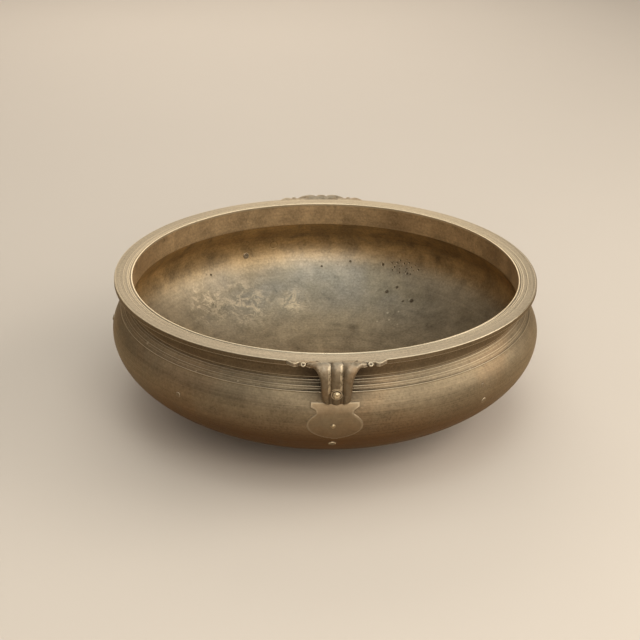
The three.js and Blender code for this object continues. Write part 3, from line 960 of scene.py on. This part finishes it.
def make_bowl(bowl, material):
    """The cast bowl, turned from its profile."""
    sizes = bowl.sizes
    points, inside, rim = [], [], []
    for name, line in bowl.sections():
        points += line
        inside += [float(name == "inside")] * len(line)
        rim += [float(name == "rim")] * len(line)
    flat = np.array(points)
    spans = np.diff(flat, axis=0)
    lengths = np.maximum(np.linalg.norm(spans, axis=1), 1e-7)
    arc = np.concatenate([[0.0], np.cumsum(lengths)])
    heading = np.unwrap(np.arctan2(spans[:, 1], spans[:, 0]))
    bend = np.zeros(len(flat))
    bend[1:-1] = np.diff(heading) / ((lengths[:-1] + lengths[1:]) / 2)
    crest = np.clip(bend * np.where(np.array(rim) > 0, RIM_WEAR, WALL_WEAR), -1, 1)
    profile = np.column_stack([flat[:, 0], np.zeros(len(flat)), flat[:, 1]])
    wire = mesh_object("bowl_profile", profile, [])
    for name, values in (("inside", inside), ("rim", rim), ("crest", crest), ("arc", arc)):
        set_attribute(wire, name, values)
    run_tree(
        wire, lathe_tree(), Steps=sizes.turn_steps, Unevenness=sizes.unevenness,
        Seed=float(sizes.seed), Material=material,
    )
    return made_plain(wire, "bowl_casting")


# ---- lugs ----


def spline(points, steps):
    """A smooth curve through a few points."""
    points = np.array(points, float)
    padded = np.vstack([2 * points[0] - points[1], points, 2 * points[-1] - points[-2]])
    line = []
    for i in range(1, len(padded) - 2):
        p0, p1, p2, p3 = padded[i - 1 : i + 3]
        bend, twist = 2 * p0 - 5 * p1 + 4 * p2 - p3, 3 * p1 - p0 - 3 * p2 + p3
        for t in np.arange(steps) / steps:
            line.append(0.5 * (2 * p1 + (p2 - p0) * t + bend * t**2 + twist * t**3))
    line.append(points[-1])
    return np.array(line)


class LugShape:
    """Where a lug's surfaces lie: x across, reach from the bowl's axis, height over the rim."""

    # All but SPILL are lengths. Those along the strap are counted from where it leaves the rim.
    FLARE_END = 38 * MM
    FOOT_CORNER = 5 * MM
    GROOVE_START, GROOVE_GROWTH = 6 * MM, 12 * MM
    DEEPER_START, DEEPER_GROWTH = 46 * MM, 8 * MM
    SPILL, SPILL_INSET = 0.16, 2.5 * MM
    FADE_START, FADE = 15 * MM, 8 * MM

    def __init__(self, bowl, sizes):
        self.bowl = bowl
        self.sizes = sizes
        self.face = -LUG_LOW.y
        self.rise = LUG_HIGH.z - bowl.top
        self.depth = bowl.top - LUG_LOW.z

    def strap_line(self):
        """The ribs' outer face from the rim over the top and down to the foot."""
        rim, face = self.bowl.rim, self.face
        return spline(
            [
                (rim - 8 * MM, -0.6 * MM),
                (rim - 4 * MM, 0.1 * MM),
                (rim, self.rise * 0.42),
                (rim + 3.4 * MM, self.rise * 0.82),
                (rim + 6.4 * MM, self.rise * 0.78),
                (rim + 9.0 * MM, self.rise * 0.15),
                (rim + 11.2 * MM, -2.8 * MM),
                (face - 0.6 * MM, -6.6 * MM),
                (face, -11.5 * MM),
                (face - 0.6 * MM, -18 * MM),
                (face - 2.6 * MM, -27 * MM),
                (face - 5.4 * MM, -34.5 * MM),
                (face - 10.2 * MM, -self.depth),
            ],
            9,
        )

    def half_width(self, height, travelled=1.0):
        """Half the strap's width: it flares where it leaves the rim, and its foot is rounded."""
        share = ramp(-height, 0.0, self.depth)
        top, foot = self.sizes.strap_width / 2, self.sizes.foot_width / 2
        half = top + (foot - top) * share**1.3
        half += self.sizes.flare * max(0.0, 1 - travelled / self.FLARE_END) ** 2
        corner = self.FOOT_CORNER
        left = -height - (self.depth - corner)
        if left > 0:
            half -= corner - math.sqrt(max(0.0, corner**2 - left**2))
        return half

    def sink(self, x, half, travelled):
        """How far the face lies below the crests: three rounded ribs that meet in sharp grooves."""
        s = self.sizes
        grown = ramp(travelled, self.GROOVE_START, self.GROOVE_GROWTH)
        side = abs(x) - s.groove_offset
        rib = (half - s.groove_offset) / 2
        if side > max(0.0, rib):
            edge = s.edge * min(1.0, 0.3 + grown)
            over = max(0.0, abs(x) - (half - edge))
            fading = 1 - ramp(travelled, self.FADE_START, self.FADE)
            spilt = max(0.0, abs(x) - s.strap_width / 2 + self.SPILL_INSET)
            return edge - math.sqrt(max(0.0, edge**2 - over**2)) + spilt * self.SPILL * fading
        along = abs(x) / s.groove_offset if side < 0 else abs(side - rib) / rib
        deeper = 1 + 0.5 * ramp(travelled, self.DEEPER_START, self.DEEPER_GROWTH)
        return s.groove_cut * deeper * grown * along ** (s.rib_fullness + 5 * (1 - grown))


def ring_faces(rings, count, start=0):
    """The faces between rings of vertices."""
    faces = []
    for i in range(rings - 1):
        for j in range(count):
            k = (j + 1) % count
            a, b = start + i * count, start + (i + 1) * count
            faces.append((a + j, a + k, b + k, b + j))
    return faces


def tube_faces(rings, count):
    """Faces of a closed tube of rings, with its two ends capped."""
    last = (rings - 1) * count
    caps = [tuple(range(count))[::-1], tuple(range(last, last + count))]
    return ring_faces(rings, count) + caps


def strap_parts(lug):
    """The strap as a tube of cross-sections: three crowned ribs in front and a flat back."""
    line = lug.strap_line()
    tangent = np.gradient(line, axis=0)
    tangent /= np.linalg.norm(tangent, axis=1)[:, None]
    outward = np.column_stack([-tangent[:, 1], tangent[:, 0]])
    travelled = np.concatenate([[0], np.cumsum(np.linalg.norm(np.diff(line, axis=0), axis=1))])
    count = 97
    vertices = []
    for (reach, height), (nr, nh), far in zip(line, outward, travelled):
        half = lug.half_width(min(0.0, height), far)
        across = np.linspace(-half, half, count)
        thick = lug.sizes.thickness * min(1.0, 0.55 + far / (30 * MM))
        for x in across:
            drop = lug.sink(x, half, far)
            vertices.append((x, -(reach - nr * drop), height - nh * drop))
        for x in across[::-1]:
            vertices.append((x, -(reach - nr * thick), height - nh * thick))
    return np.array(vertices), tube_faces(len(line), 2 * count)


def prism_parts(outline, low, high):
    """A flat outline of (x, reach) points made solid between two heights."""
    vertices = [(x, -reach, z) for z in (low, high) for x, reach in outline]
    return np.array(vertices), tube_faces(2, len(outline))


def foot_parts(lug):
    """The solid foot that fills the space between the strap and the bowl's ridges."""
    bowl, face = lug.bowl, lug.face
    seat = []
    for depth in (24.2 * MM, 28 * MM, 33 * MM, 37 * MM, lug.depth - 0.6 * MM):
        on_collar = bowl.neck_outer + (depth - 23 * MM) * 0.8
        wall = bowl.reach(depth) if depth > bowl.sizes.shoulder_depth else on_collar
        seat.append((wall - 1 * MM, -depth))
    section = [
        (face - 11 * MM, -24.0 * MM),
        (face - 6.5 * MM, -22.4 * MM),
        (face - 4.6 * MM, -24 * MM),
        (face - 5 * MM, -30 * MM),
        (face - 8.4 * MM, -36 * MM),
        (face - 11.4 * MM, -lug.depth + 0.6 * MM),
    ] + seat[::-1]
    vertices = []
    for side in (-1, 1):
        for reach, height in section:
            half = lug.half_width(height) - 0.8 * MM
            vertices.append((side * half, -reach, height))
    return np.array(vertices), tube_faces(2, len(section))


def wing_outline(lug, hand):
    """One wing in plan: the strap's side, a hollow, the curl, a notch, the lobe and the cusp."""
    s, rim = lug.sizes, lug.bowl.rim
    tip, curl, side = s.wing_span / 2, s.curl_offset, s.strap_width / 2

    def past_rim(x, out, near=0.0):
        """A point at x that stands out from the rim's edge as it is near there."""
        return x, math.sqrt(rim**2 - (x + near) ** 2) + out

    outer = spline(
        [
            (side - 2.4 * MM, rim - 2 * MM),
            (side - 0.6 * MM, rim + 5.6 * MM),
            (side + 1.2 * MM, rim + 5.4 * MM),
            past_rim(side + 3.2 * MM, 4.2 * MM, near=-3.2 * MM),
            past_rim(side + 7 * MM, 2.6 * MM),
            past_rim(curl - 3.6 * MM, 2.4 * MM, near=3.6 * MM),
        ],
        6,
    )
    knob_radius = 1.7 * MM
    knob_x, knob_reach = past_rim(curl, s.wing_reach - 1.2 * MM)
    knob = [
        (knob_x + knob_radius * math.cos(t), knob_reach + knob_radius * math.sin(t))
        for t in np.linspace(math.radians(195), math.radians(-15), 11)
    ]
    lobe = spline(
        [
            past_rim(curl + 3.6 * MM, 2.2 * MM, near=-3.6 * MM),
            past_rim(curl + 5.4 * MM, 4.8 * MM, near=-0.4 * MM),
            past_rim(tip - 7.0 * MM, s.wing_reach + 1.4 * MM),
            past_rim(tip - 4.4 * MM, s.wing_reach + 0.4 * MM, near=0.4 * MM),
            past_rim(tip - 1.8 * MM, 2.4 * MM, near=-0.2 * MM),
            past_rim(tip, 0.5 * MM),
        ],
        6,
    )
    inner = rim - 5 * MM
    back = [(x, math.sqrt(inner**2 - x**2)) for x in np.linspace(tip, 0, 12)]
    line = [*outer, *knob, *lobe, *back, (0.0, rim - 2.6 * MM)]
    line = [(hand * x, reach) for x, reach in line]
    return line if hand > 0 else line[::-1]


# A curl's button in section, as (radius, height) shares of its radius: a raised ring and a dimple.
BUTTON_LINE = (
    (0.8, -0.9), (1.0, -0.5), (1.0, 0.0), (0.9, 0.24), (0.76, 0.28), (0.6, 0.2), (0.38, -0.12)
)
BUTTON_DIMPLE = -0.22


def button_parts(centre, lean, radius, steps=32):
    """A small round button, its axis leaning outwards from upright."""
    turn = Matrix.Rotation(lean, 3, "X")
    centre = Vector(centre)
    vertices = []
    for r, h in BUTTON_LINE:
        for i in range(steps):
            a = math.tau * i / steps
            place = Vector((r * math.cos(a), r * math.sin(a), h)) * radius
            vertices.append(tuple(centre + turn @ place))
    rows = len(BUTTON_LINE)
    faces = ring_faces(rows, steps)
    foot, top, last = len(vertices), len(vertices) + 1, (rows - 1) * steps
    for h in (BUTTON_LINE[0][1], BUTTON_DIMPLE):
        vertices.append(tuple(centre + turn @ Vector((0, 0, h * radius))))
    for j in range(steps):
        k = (j + 1) % steps
        faces += [(foot, k, j), (top, last + j, last + k)]
    return np.array(vertices), faces


def joined(name, parts):
    """One mesh object from several closed parts."""
    vertices, faces, start = [], [], 0
    for points, sides in parts:
        vertices.append(points)
        faces += [tuple(i + start for i in f) for f in sides]
        start += len(points)
    return mesh_object(name, np.vstack(vertices), faces)


def fuse(made, voxel, rounds):
    """Fuses overlapping closed parts into one casting skin and softens its inner corners."""
    remesh = made.modifiers.new("fuse", "REMESH")
    remesh.mode = "VOXEL"
    remesh.voxel_size = voxel
    remesh.adaptivity = 0.0
    soften = made.modifiers.new("soften", "SMOOTH")
    soften.factor = 0.5
    soften.iterations = rounds
    return made_plain(made, made.name)


def add_grain(made, amount, scale):
    """Moves each vertex along its normal by a fine, fixed noise, as sand-cast metal has."""
    points, normals = vertex_vectors(made), vertex_vectors(made, "normal")
    shift = [
        noise.noise(Vector(p) * scale) + 0.5 * noise.noise(Vector(p) * scale * 2.7) for p in points
    ]
    move_points(made, points + normals * (np.array(shift)[:, None] * amount))


CURL_LEAN = math.radians(44)
SUNK_TOP = 0.35 * MM  # how far the lug's top sinks into the rim's top face


def make_lug(bowl, sizes, side):
    """A strap lug: three ribs over a loop, a riveted foot and two scrolled wings along the rim."""
    lug = LugShape(bowl, sizes)
    curl_reach = math.sqrt(bowl.rim**2 - sizes.curl_offset**2) + sizes.wing_reach + 0.5 * MM
    parts = [strap_parts(lug), foot_parts(lug)]
    for hand in (-1, 1):
        parts.append(prism_parts(wing_outline(lug, hand), -sizes.wing_thickness, 0.1 * MM))
        centre = (hand * sizes.curl_offset, -curl_reach, -0.9 * MM)
        parts.append(button_parts(centre, CURL_LEAN, sizes.curl_radius))
    made = joined(f"{side}_lug_casting", parts)
    fuse(made, sizes.voxel, 3)
    shift = middle_of(f"{side}_lug").x
    points = vertex_vectors(made)
    # The top sinks into the rim's top face a little inside its edge, so no step shows there.
    radius = np.hypot(points[:, 0], points[:, 1])
    into = np.clip((bowl.rim - radius) / (4 * MM), 0, 1)
    points[:, 2] -= np.where(points[:, 2] > -0.6 * MM, into * SUNK_TOP, 0)
    sink_seat(points, side, shift, bowl.top)
    points[:, 0] += shift * SIDES[side]
    points[:, 2] += bowl.top
    move_points(made, points)
    add_grain(made, sizes.grain, 330.0)
    if side == "back":
        turn_to_back(made)
    mark_crests(made, 0.12 * MM, 2)
    return made


def sink_seat(points, side, shift, top):
    """Presses the washer's round seat into the strap's face, with a wall half a millimetre wide."""
    low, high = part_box(f"{side}_lug_washer")
    middle = (low + high) / 2
    seat = (high.z - low.z) / 2 + 0.1 * MM
    offset = (middle.x - shift) * SIDES[side]
    away = np.hypot(points[:, 0] - offset, points[:, 2] - middle.z + top)
    wall = np.clip((away - seat) / (0.5 * MM), 0, 1)
    limit = min(abs(low.y), abs(high.y)) + wall * 6 * MM
    reach = -points[:, 1]
    points[:, 1] = -np.where((wall < 1) & (reach > limit), limit, reach)


# ---- shield plates ----


def shield_outline(tip):
    """The shield as (x, depth) points: a blunt foot, full cheeks, a notch and two square ears."""
    cheek = [
        (0, tip), (6, tip - 1.2), (13, 76.4), (19.6, 72.6), (24.4, 67.6), (25.8, 62.6),
        (24.6, 57.6), (21.2, 53.4), (17.4, 50.4),
    ]
    ear = [(17.4, 49.8), (18.0, 47.6), (20.6, 46.2), (22.6, 45.2), (22.9, 42.8), (22.7, 40.2)]
    right = [(x * MM, depth * MM) for x, depth in (*spline(cheek, 7), *spline(ear, 5))]
    return right + [(-x, depth) for x, depth in right[:0:-1]]


def inside_outline(outline, points):
    """Which points lie inside a closed outline."""
    outline = np.array(outline)
    x, y = points[:, 0], points[:, 1]
    inside = np.zeros(len(points), bool)
    for (x0, y0), (x1, y1) in zip(outline, np.roll(outline, -1, axis=0)):
        crosses = (y0 > y) != (y1 > y)
        with np.errstate(divide="ignore", invalid="ignore"):
            at = (x1 - x0) * (y - y0) / (y1 - y0) + x0
        inside ^= crosses & (x < at)
    return inside


def edge_distance(outline, points):
    """Each point's distance to a closed outline."""
    outline = np.array(outline)
    best = np.full(len(points), np.inf)
    for a, b in zip(outline, np.roll(outline, -1, axis=0)):
        along = b - a
        share = np.clip(((points - a) @ along) / max(along @ along, 1e-18), 0, 1)
        best = np.minimum(best, np.linalg.norm(points - (a + share[:, None] * along), axis=1))
    return best


PLATE_PITCH = 0.8 * MM  # the spacing of a plate's vertices
PLATE_SHIFT = 0.6  # how far a plate follows its lug off the middle, as a share
PLATE_SINK = 0.8 * MM  # how deep its back is sunk in the wall


def flat_plate(bowl, side):
    """The flat shield as (x, depth) vertices, its faces and its outline."""
    low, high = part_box(f"{side}_shield_plate")
    shift = middle_of(f"{side}_lug").x * PLATE_SHIFT * SIDES[side]
    outline = [(x + shift, depth) for x, depth in shield_outline((bowl.top - low.z) / MM)]
    grid = np.meshgrid(
        np.arange(low.x - 4 * MM, high.x + 4 * MM, PLATE_PITCH),
        np.arange(bowl.top - high.z - 2 * MM, bowl.top - low.z, PLATE_PITCH),
    )
    fill = np.column_stack([each.ravel() for each in grid])
    keep = inside_outline(outline, fill) & (edge_distance(outline, fill) > PLATE_PITCH * 0.45)
    ring = []
    closed = np.array(outline + outline[:1])
    for a, b in zip(closed[:-1], closed[1:]):
        steps = max(1, int(np.linalg.norm(b - a) / (PLATE_PITCH * 0.8)))
        ring += [tuple(a + (b - a) * k / steps) for k in range(steps)]
    points = [Vector(p) for p in (*ring, *fill[keep])]
    edges = [(i, (i + 1) % len(ring)) for i in range(len(ring))]
    flat, _, faces, *_ = delaunay_2d_cdt(points, edges, [], 1, 1e-7)
    return np.array([tuple(p) for p in flat]), faces, outline


def make_plate(bowl, fittings, side):
    """A thin shield that follows the belly, with a rounded, slightly raised edge."""
    flat, faces, outline = flat_plate(bowl, side)
    away = edge_distance(outline, flat)
    share = np.clip(away / fittings.plate_edge, 0, 1)
    raised = np.exp(-(((away - 0.9 * MM) / (0.6 * MM)) ** 2)) * 0.06 * MM
    top = fittings.plate_thickness * np.sqrt(1 - (1 - share) ** 2) + raised
    wave = 0.18 * MM * np.sin(flat[:, 0] * 190 + 1.1) * np.cos(flat[:, 1] * 160)
    skin, back = [], []
    for (x, depth), off in zip(flat, top + wave * share):
        angle = x / bowl.reach(depth)
        skin.append(bowl.wall_point(angle, depth, off))
        back.append(bowl.wall_point(angle, depth, -PLATE_SINK))
    size = len(flat)
    front = [face if area_sign(flat, face) < 0 else face[::-1] for face in faces]
    sides = front + [[i + size for i in face[::-1]] for face in front] + rim_faces(front, size)
    made = mesh_object(f"{side}_shield", skin + back, sides)
    if side == "back":
        turn_to_back(made)
    mark_crests(made, 0.2 * MM, 2)
    return made


def area_sign(flat, face):
    """The face's area, below 0 where it runs clockwise."""
    p = flat[list(face)]
    q = np.roll(p, -1, axis=0)
    return np.sum(p[:, 0] * q[:, 1] - q[:, 0] * p[:, 1])


def rim_faces(faces, size):
    """The side faces between a skin and its copy, along the skin's open edges."""
    directed = {(f[i], f[(i + 1) % len(f)]) for f in faces for i in range(len(f))}
    return [(b, a, a + size, b + size) for a, b in directed if (b, a) not in directed]


# ---- rivets, washers and plugs ----


def head_tree():
    """Sets a turned head on each point, its axis along the point's aim."""
    inputs = ("Radius", "Height", "Dimple", "Lip", "Bore", "Wobble", "Seed")
    tree, nodes, given = geometry_tree("turned_heads", **dict.fromkeys(inputs, "Float"))
    turns, rows = 49, 29
    grid = nodes.add("GeometryNodeMeshGrid", 1.0, 1.0, turns, rows)
    gx, gy, _ = nodes.parts(nodes.add("GeometryNodeInputPosition"))
    turn = nodes.product(nodes.sum(gx, 0.5), -math.tau)
    share = nodes.sum(gy, 0.5)
    # The first half of the profile runs over the head, the second half back along its underside.
    over = nodes.maths("MULTIPLY", share, 2.0, clamp=True)
    under = nodes.maths("SUBTRACT", nodes.product(share, 2.0), 1.0, clamp=True)
    arc = nodes.product(over, math.pi / 2)
    span = nodes.less(1.0, given["Bore"])
    out = nodes.sum(given["Bore"], nodes.product(span, nodes.maths("SINE", arc)))
    radial = nodes.product(nodes.less(out, nodes.product(span, under)), given["Radius"])
    dome = nodes.product(nodes.maths("COSINE", arc), given["Height"])
    dimple_half = nodes.product(given["Radius"], 0.24)
    dimple = nodes.product(nodes.bell(radial, 0.0, dimple_half), given["Dimple"])
    lip = nodes.product(nodes.bell(out, 0.84, 0.11), given["Lip"])
    on_top = nodes.step(over, 0.999, 0.96)
    sunk = nodes.product(nodes.step(under, 0.0, 0.2), -HEAD_SINK)
    place = nodes.xyz(
        nodes.product(radial, nodes.maths("COSINE", turn)),
        nodes.product(radial, nodes.maths("SINE", turn)),
        nodes.sum(dome, nodes.product(nodes.less(lip, dimple), on_top), sunk),
    )
    head = nodes.add("GeometryNodeSetPosition", grid, None, place)
    head = nodes.add("GeometryNodeMergeByDistance", head, None, MERGED)
    aim = nodes.add("GeometryNodeInputNamedAttribute", "aim", data_type="FLOAT_VECTOR")
    turned = nodes.add("FunctionNodeAlignRotationToVector", None, 1.0, aim, axis="Z")
    scale = nodes.add("GeometryNodeInputNamedAttribute", "size", data_type="FLOAT")
    placed = nodes.add(
        "GeometryNodeInstanceOnPoints", given["Geometry"], None, head, None, None, turned, scale
    )
    real = nodes.add("GeometryNodeRealizeInstances", placed)
    place = nodes.vector(
        "ADD", nodes.add("GeometryNodeInputPosition"), nodes.xyz(given["Seed"], 0.0, 0.0)
    )
    stray = nodes.centred(nodes.noise(place, 320.0, 2.0, 0.5))
    wobble = nodes.product(stray, given["Wobble"])
    offset = nodes.times(nodes.add("GeometryNodeInputNormal"), wobble)
    worn = nodes.add("GeometryNodeSetPosition", real, None, None, offset)
    end_tree(nodes, worn, given["Material"])
    return tree


def wall_place(bowl, node):
    """The angle and depth at which a small piece sits on the outer wall."""
    middle = middle_of(node)
    reach = math.hypot(middle.x, middle.y)
    depths = np.linspace(bowl.sizes.shoulder_depth, bowl.top * 0.8, 400)
    gaps = [math.hypot(bowl.reach(d) - reach, bowl.top - d - middle.z) for d in depths]
    return math.atan2(middle.x, -middle.y), float(depths[int(np.argmin(gaps))])


def make_heads(name, places, material, seed, **shape):
    """Turned heads, one for each point with the direction it faces and its scale."""
    points, aims, scales = zip(*places)
    made = mesh_object(name, points, [])
    aim = made.data.attributes.new("aim", "FLOAT_VECTOR", "POINT")
    aim.data.foreach_set("vector", np.array([tuple(a) for a in aims], np.float32).ravel())
    set_attribute(made, "size", scales)
    run_tree(made, head_tree(), Wobble=HEAD_WOBBLE, Seed=seed, Material=material, **shape)
    made_plain(made, name)
    mark_crests(made, 0.1 * MM, 1)
    return made


# ---- operators ----


def settings_of(context):
    """The bowl's shape, the lugs' and fittings' sizes and the colours, as the panel has them."""
    scene = context.scene
    return BowlShape(scene.urli_bowl), scene.urli_lug, scene.urli_fittings, scene.urli_colours


class UrliMakeBowl(bpy.types.Operator):
    """Make the cast bowl with its rim, neck, ridges and belly"""

    bl_idname = "urli.make_bowl"
    bl_label = "Bowl"

    def execute(self, context):
        bowl, _, _, shades = settings_of(context)
        material = bowl_finish(shades, bowl)
        hand_over(make_bowl(bowl, material), "cast_brass", material, "bowl_body")
        return {"FINISHED"}


class UrliMakeLugs(bpy.types.Operator):
    """Make the two strap lugs with their ribs, feet and scrolled wings"""

    bl_idname = "urli.make_lugs"
    bl_label = "Lugs"

    def execute(self, context):
        bowl, sizes, _, shades = settings_of(context)
        grooves = (
            middle_of("front_lug").x,
            sizes.groove_offset + 2.5 * MM,
            bowl.top - 1 * MM,
            bowl.top - bowl.sizes.neck_depth - 2 * MM,
        )
        material = cast_finish("lug_brass_patina", shades.lug, shades, grooves=grooves)
        for side in SIDES:
            hand_over(make_lug(bowl, sizes, side), "lug_brass", material, f"{side}_lug")
        return {"FINISHED"}


class UrliMakePlates(bpy.types.Operator):
    """Make the shield plates below the lugs"""

    bl_idname = "urli.make_plates"
    bl_label = "Shield plates"

    def execute(self, context):
        bowl, _, fittings, shades = settings_of(context)
        material = plate_finish(shades, bowl)
        for side in SIDES:
            made = make_plate(bowl, fittings, side)
            hand_over(made, "plate_brass", material, f"{side}_shield_plate")
        return {"FINISHED"}


class UrliMakeRivets(bpy.types.Operator):
    """Make the washers and the rivets that hold the lugs and plates"""

    bl_idname = "urli.make_rivets"
    bl_label = "Washers and rivets"

    def execute(self, context):
        bowl, _, fittings, shades = settings_of(context)
        knob = cast_finish(
            "rivet_brass_worn", shades.knob, shades, bright=0.8, dark=0.7, gloss=0.14
        )
        finishes = {
            "lug_washer": cast_finish(
                "washer_brass_patina", shades.grime_and_shade, shades, bright=0.7, dark=0.95
            ),
            "lug_rivet": knob,
            "plate_rivet": knob,
            "tail_rivet": cast_finish("tail_rivet_patina", shades.lug, shades, bright=0.9),
        }
        places = {name: [] for name in HEADS}
        for side, hand in SIDES.items():
            low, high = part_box(f"{side}_lug_washer")
            inner, outer = sorted((abs(low.y), abs(high.y)))
            middle = (low + high) / 2
            for name, reach in (("lug_washer", inner), ("lug_rivet", outer - KNOB_SINK)):
                place = Vector((middle.x, -hand * reach, middle.z))
                places[name].append((place, Vector((0, -hand, 0)), 1.0))
            for name, off in (("plate_rivet", fittings.plate_thickness), ("tail_rivet", 0.0)):
                angle, depth = wall_place(bowl, f"{side}_{name}")
                place = bowl.wall_point(angle, depth, off)
                places[name].append((place, bowl.wall_normal(angle, depth), 1.0))
        for number, (name, (slot, radius, height, dimple, lip, bore)) in enumerate(HEADS.items()):
            made = make_heads(
                f"{name}_heads", places[name], finishes[name], float(number), Radius=radius * MM,
                Height=height * MM, Dimple=dimple * MM, Lip=lip * MM, Bore=bore,
            )
            hand_over(made, slot, finishes[name], *[f"{side}_{name}" for side in SIDES])
        return {"FINISHED"}


class UrliMakePlugs(bpy.types.Operator):
    """Make the small plugs that fill holes in the wall"""

    bl_idname = "urli.make_plugs"
    bl_label = "Wall plugs"

    def execute(self, context):
        bowl, _, fittings, shades = settings_of(context)
        material = cast_finish("plug_brass_patina", shades.lug, shades, bright=0.8)
        names = sorted(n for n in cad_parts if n.startswith("wall_plug"))
        places = []
        for node in names:
            angle, depth = wall_place(bowl, node)
            low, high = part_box(node)
            scale = (high.z - low.z) / 2 / PLUG_PIN
            normal = bowl.wall_normal(angle, depth)
            places.append((bowl.wall_point(angle, depth), normal, scale))
            places.append((bowl.wall_point(angle, depth, -bowl.sizes.wall), -normal, scale))
        radius, dimple, lip = (size * MM for size in PLUG_HEAD)
        made = make_heads(
            "wall_plug_heads", places, material, 9.0, Radius=radius, Height=fittings.plug_proud,
            Dimple=dimple, Lip=lip, Bore=0.0,
        )
        hand_over(made, "plug_brass", material, *names)
        return {"FINISHED"}


def soft_light(name, turn, lift, distance, width, power, tint):
    """A square soft light that faces the bowl and isn't itself seen by the camera."""
    light = bpy.data.lights.new(name, "AREA")
    light.shape = "SQUARE"
    light.size = width
    light.energy = power
    light.color = tint
    made = bpy.data.objects.new(name, light)
    bpy.context.scene.collection.objects.link(made)
    turn, lift = math.radians(turn), math.radians(lift)
    way = Vector((math.sin(turn) * math.cos(lift), -math.cos(turn) * math.cos(lift), math.sin(lift)))
    made.location = Vector((0, 0, BOWL_HIGH.z * 0.7)) + way * distance
    made.rotation_euler = (-way).to_track_quat("-Z", "Y").to_euler()
    made.visible_camera = False


class UrliMakeStage(bpy.types.Operator):
    """Make the floor, the soft lights and the camera"""

    bl_idname = "urli.make_stage"
    bl_label = "Stage"

    def execute(self, context):
        studio = context.scene.urli_studio
        self.make_floor(studio)
        self.make_sky(context, studio)
        for name, (turn, lift, distance, width, power, tint) in LIGHTS.items():
            soft_light(name, turn, lift, distance, width, power * studio.light, tint)
        self.make_camera(context, studio)
        context.scene.view_settings.view_transform = "Standard"
        return {"FINISHED"}

    def make_floor(self, studio):
        """A pale round floor that curves up into a backdrop all round."""
        radius, bend, steps = studio.floor_radius, 1.4, 96
        line = [(radius * k / 6, 0.0) for k in range(1, 7)]
        quarter = np.linspace(0, math.pi / 2, 17)[1:]
        line += [(radius + bend * math.sin(t), bend * (1 - math.cos(t))) for t in quarter]
        line.append((radius + bend, bend + 1.2))
        vertices = [(0.0, 0.0, 0.0)]
        turns = np.arange(steps) * math.tau / steps
        vertices += [(r * math.cos(t), r * math.sin(t), z) for r, z in line for t in turns]
        faces = [(0, 1 + j, 1 + (j + 1) % steps) for j in range(steps)]
        faces += [face[::-1] for face in ring_faces(len(line), steps, start=1)]
        floor = smooth_shaded(mesh_object("floor", vertices, faces))
        material, nodes = new_finish("pale_floor")
        position = nodes.add("ShaderNodeTexCoord", out=3)
        cloud = nodes.noise(position, 3.0, 4.0)
        shade = tuple(0.93 * c for c in studio.floor_colour)
        tint = nodes.blend(nodes.product(cloud, 0.5), studio.floor_colour, shade)
        finish_brass(nodes, tint, 0.85, 0.0, cloud, 0.1 * MM)
        floor.data.materials.append(material)

    def make_sky(self, context, studio):
        """An even white surrounding light."""
        world = bpy.data.worlds.new("studio")
        context.scene.world = world
        world.use_nodes = True
        back = world.node_tree.nodes["Background"]
        back.inputs["Color"].default_value = (1.0, 1.0, 1.0, 1.0)
        back.inputs["Strength"].default_value = studio.sky

    def make_camera(self, context, studio):
        """The camera, aimed a little below the rim."""
        camera = bpy.data.objects.new("camera", bpy.data.cameras.new("camera"))
        context.scene.collection.objects.link(camera)
        camera.data.lens = studio.lens
        turn = Matrix.Rotation(math.radians(studio.azimuth), 3, "Z")
        lift = math.radians(studio.elevation)
        top = Vector((0, 0, BOWL_HIGH.z))
        place = top + turn @ Vector((0, -math.cos(lift), math.sin(lift))) * studio.distance
        aim = top + turn @ Vector((studio.aim_side, 0, 0)) - Vector((0, 0, studio.aim_depth))
        camera.rotation_mode = "QUATERNION"
        look = (aim - place).to_track_quat("-Z", "Y")
        roll = Matrix.Rotation(math.radians(studio.roll), 3, "Z")
        camera.rotation_quaternion = look @ roll.to_quaternion()
        camera.location = place
        context.scene.camera = camera


class UrliPanel(bpy.types.Panel):
    """Lists the steps that build the urli"""

    bl_idname = "VIEW3D_PT_urli"
    bl_label = "Urli"
    bl_space_type = "VIEW_3D"
    bl_region_type = "UI"
    bl_category = "Urli"

    def draw(self, context):
        for step in STEPS:
            self.layout.operator(step.bl_idname)


SETTINGS = (
    ("urli_bowl", UrliBowlSizes),
    ("urli_lug", UrliLugSizes),
    ("urli_fittings", UrliFittingSizes),
    ("urli_colours", UrliColours),
    ("urli_studio", UrliStudio),
)
STEPS = (UrliMakeStage, UrliMakeBowl, UrliMakeLugs, UrliMakePlates, UrliMakeRivets, UrliMakePlugs)


def register():
    for name, group in SETTINGS:
        bpy.utils.register_class(group)
        setattr(bpy.types.Scene, name, PointerProperty(type=group))
    for step in (*STEPS, UrliPanel):
        bpy.utils.register_class(step)


def unregister():
    for step in reversed((*STEPS, UrliPanel)):
        bpy.utils.unregister_class(step)
    for name, group in reversed(SETTINGS):
        delattr(bpy.types.Scene, name)
        bpy.utils.unregister_class(group)


def main():
    register()
    for step in STEPS:
        area, name = step.bl_idname.split(".")
        getattr(getattr(bpy.ops, area), name)()


if __name__ == "__main__":
    main()
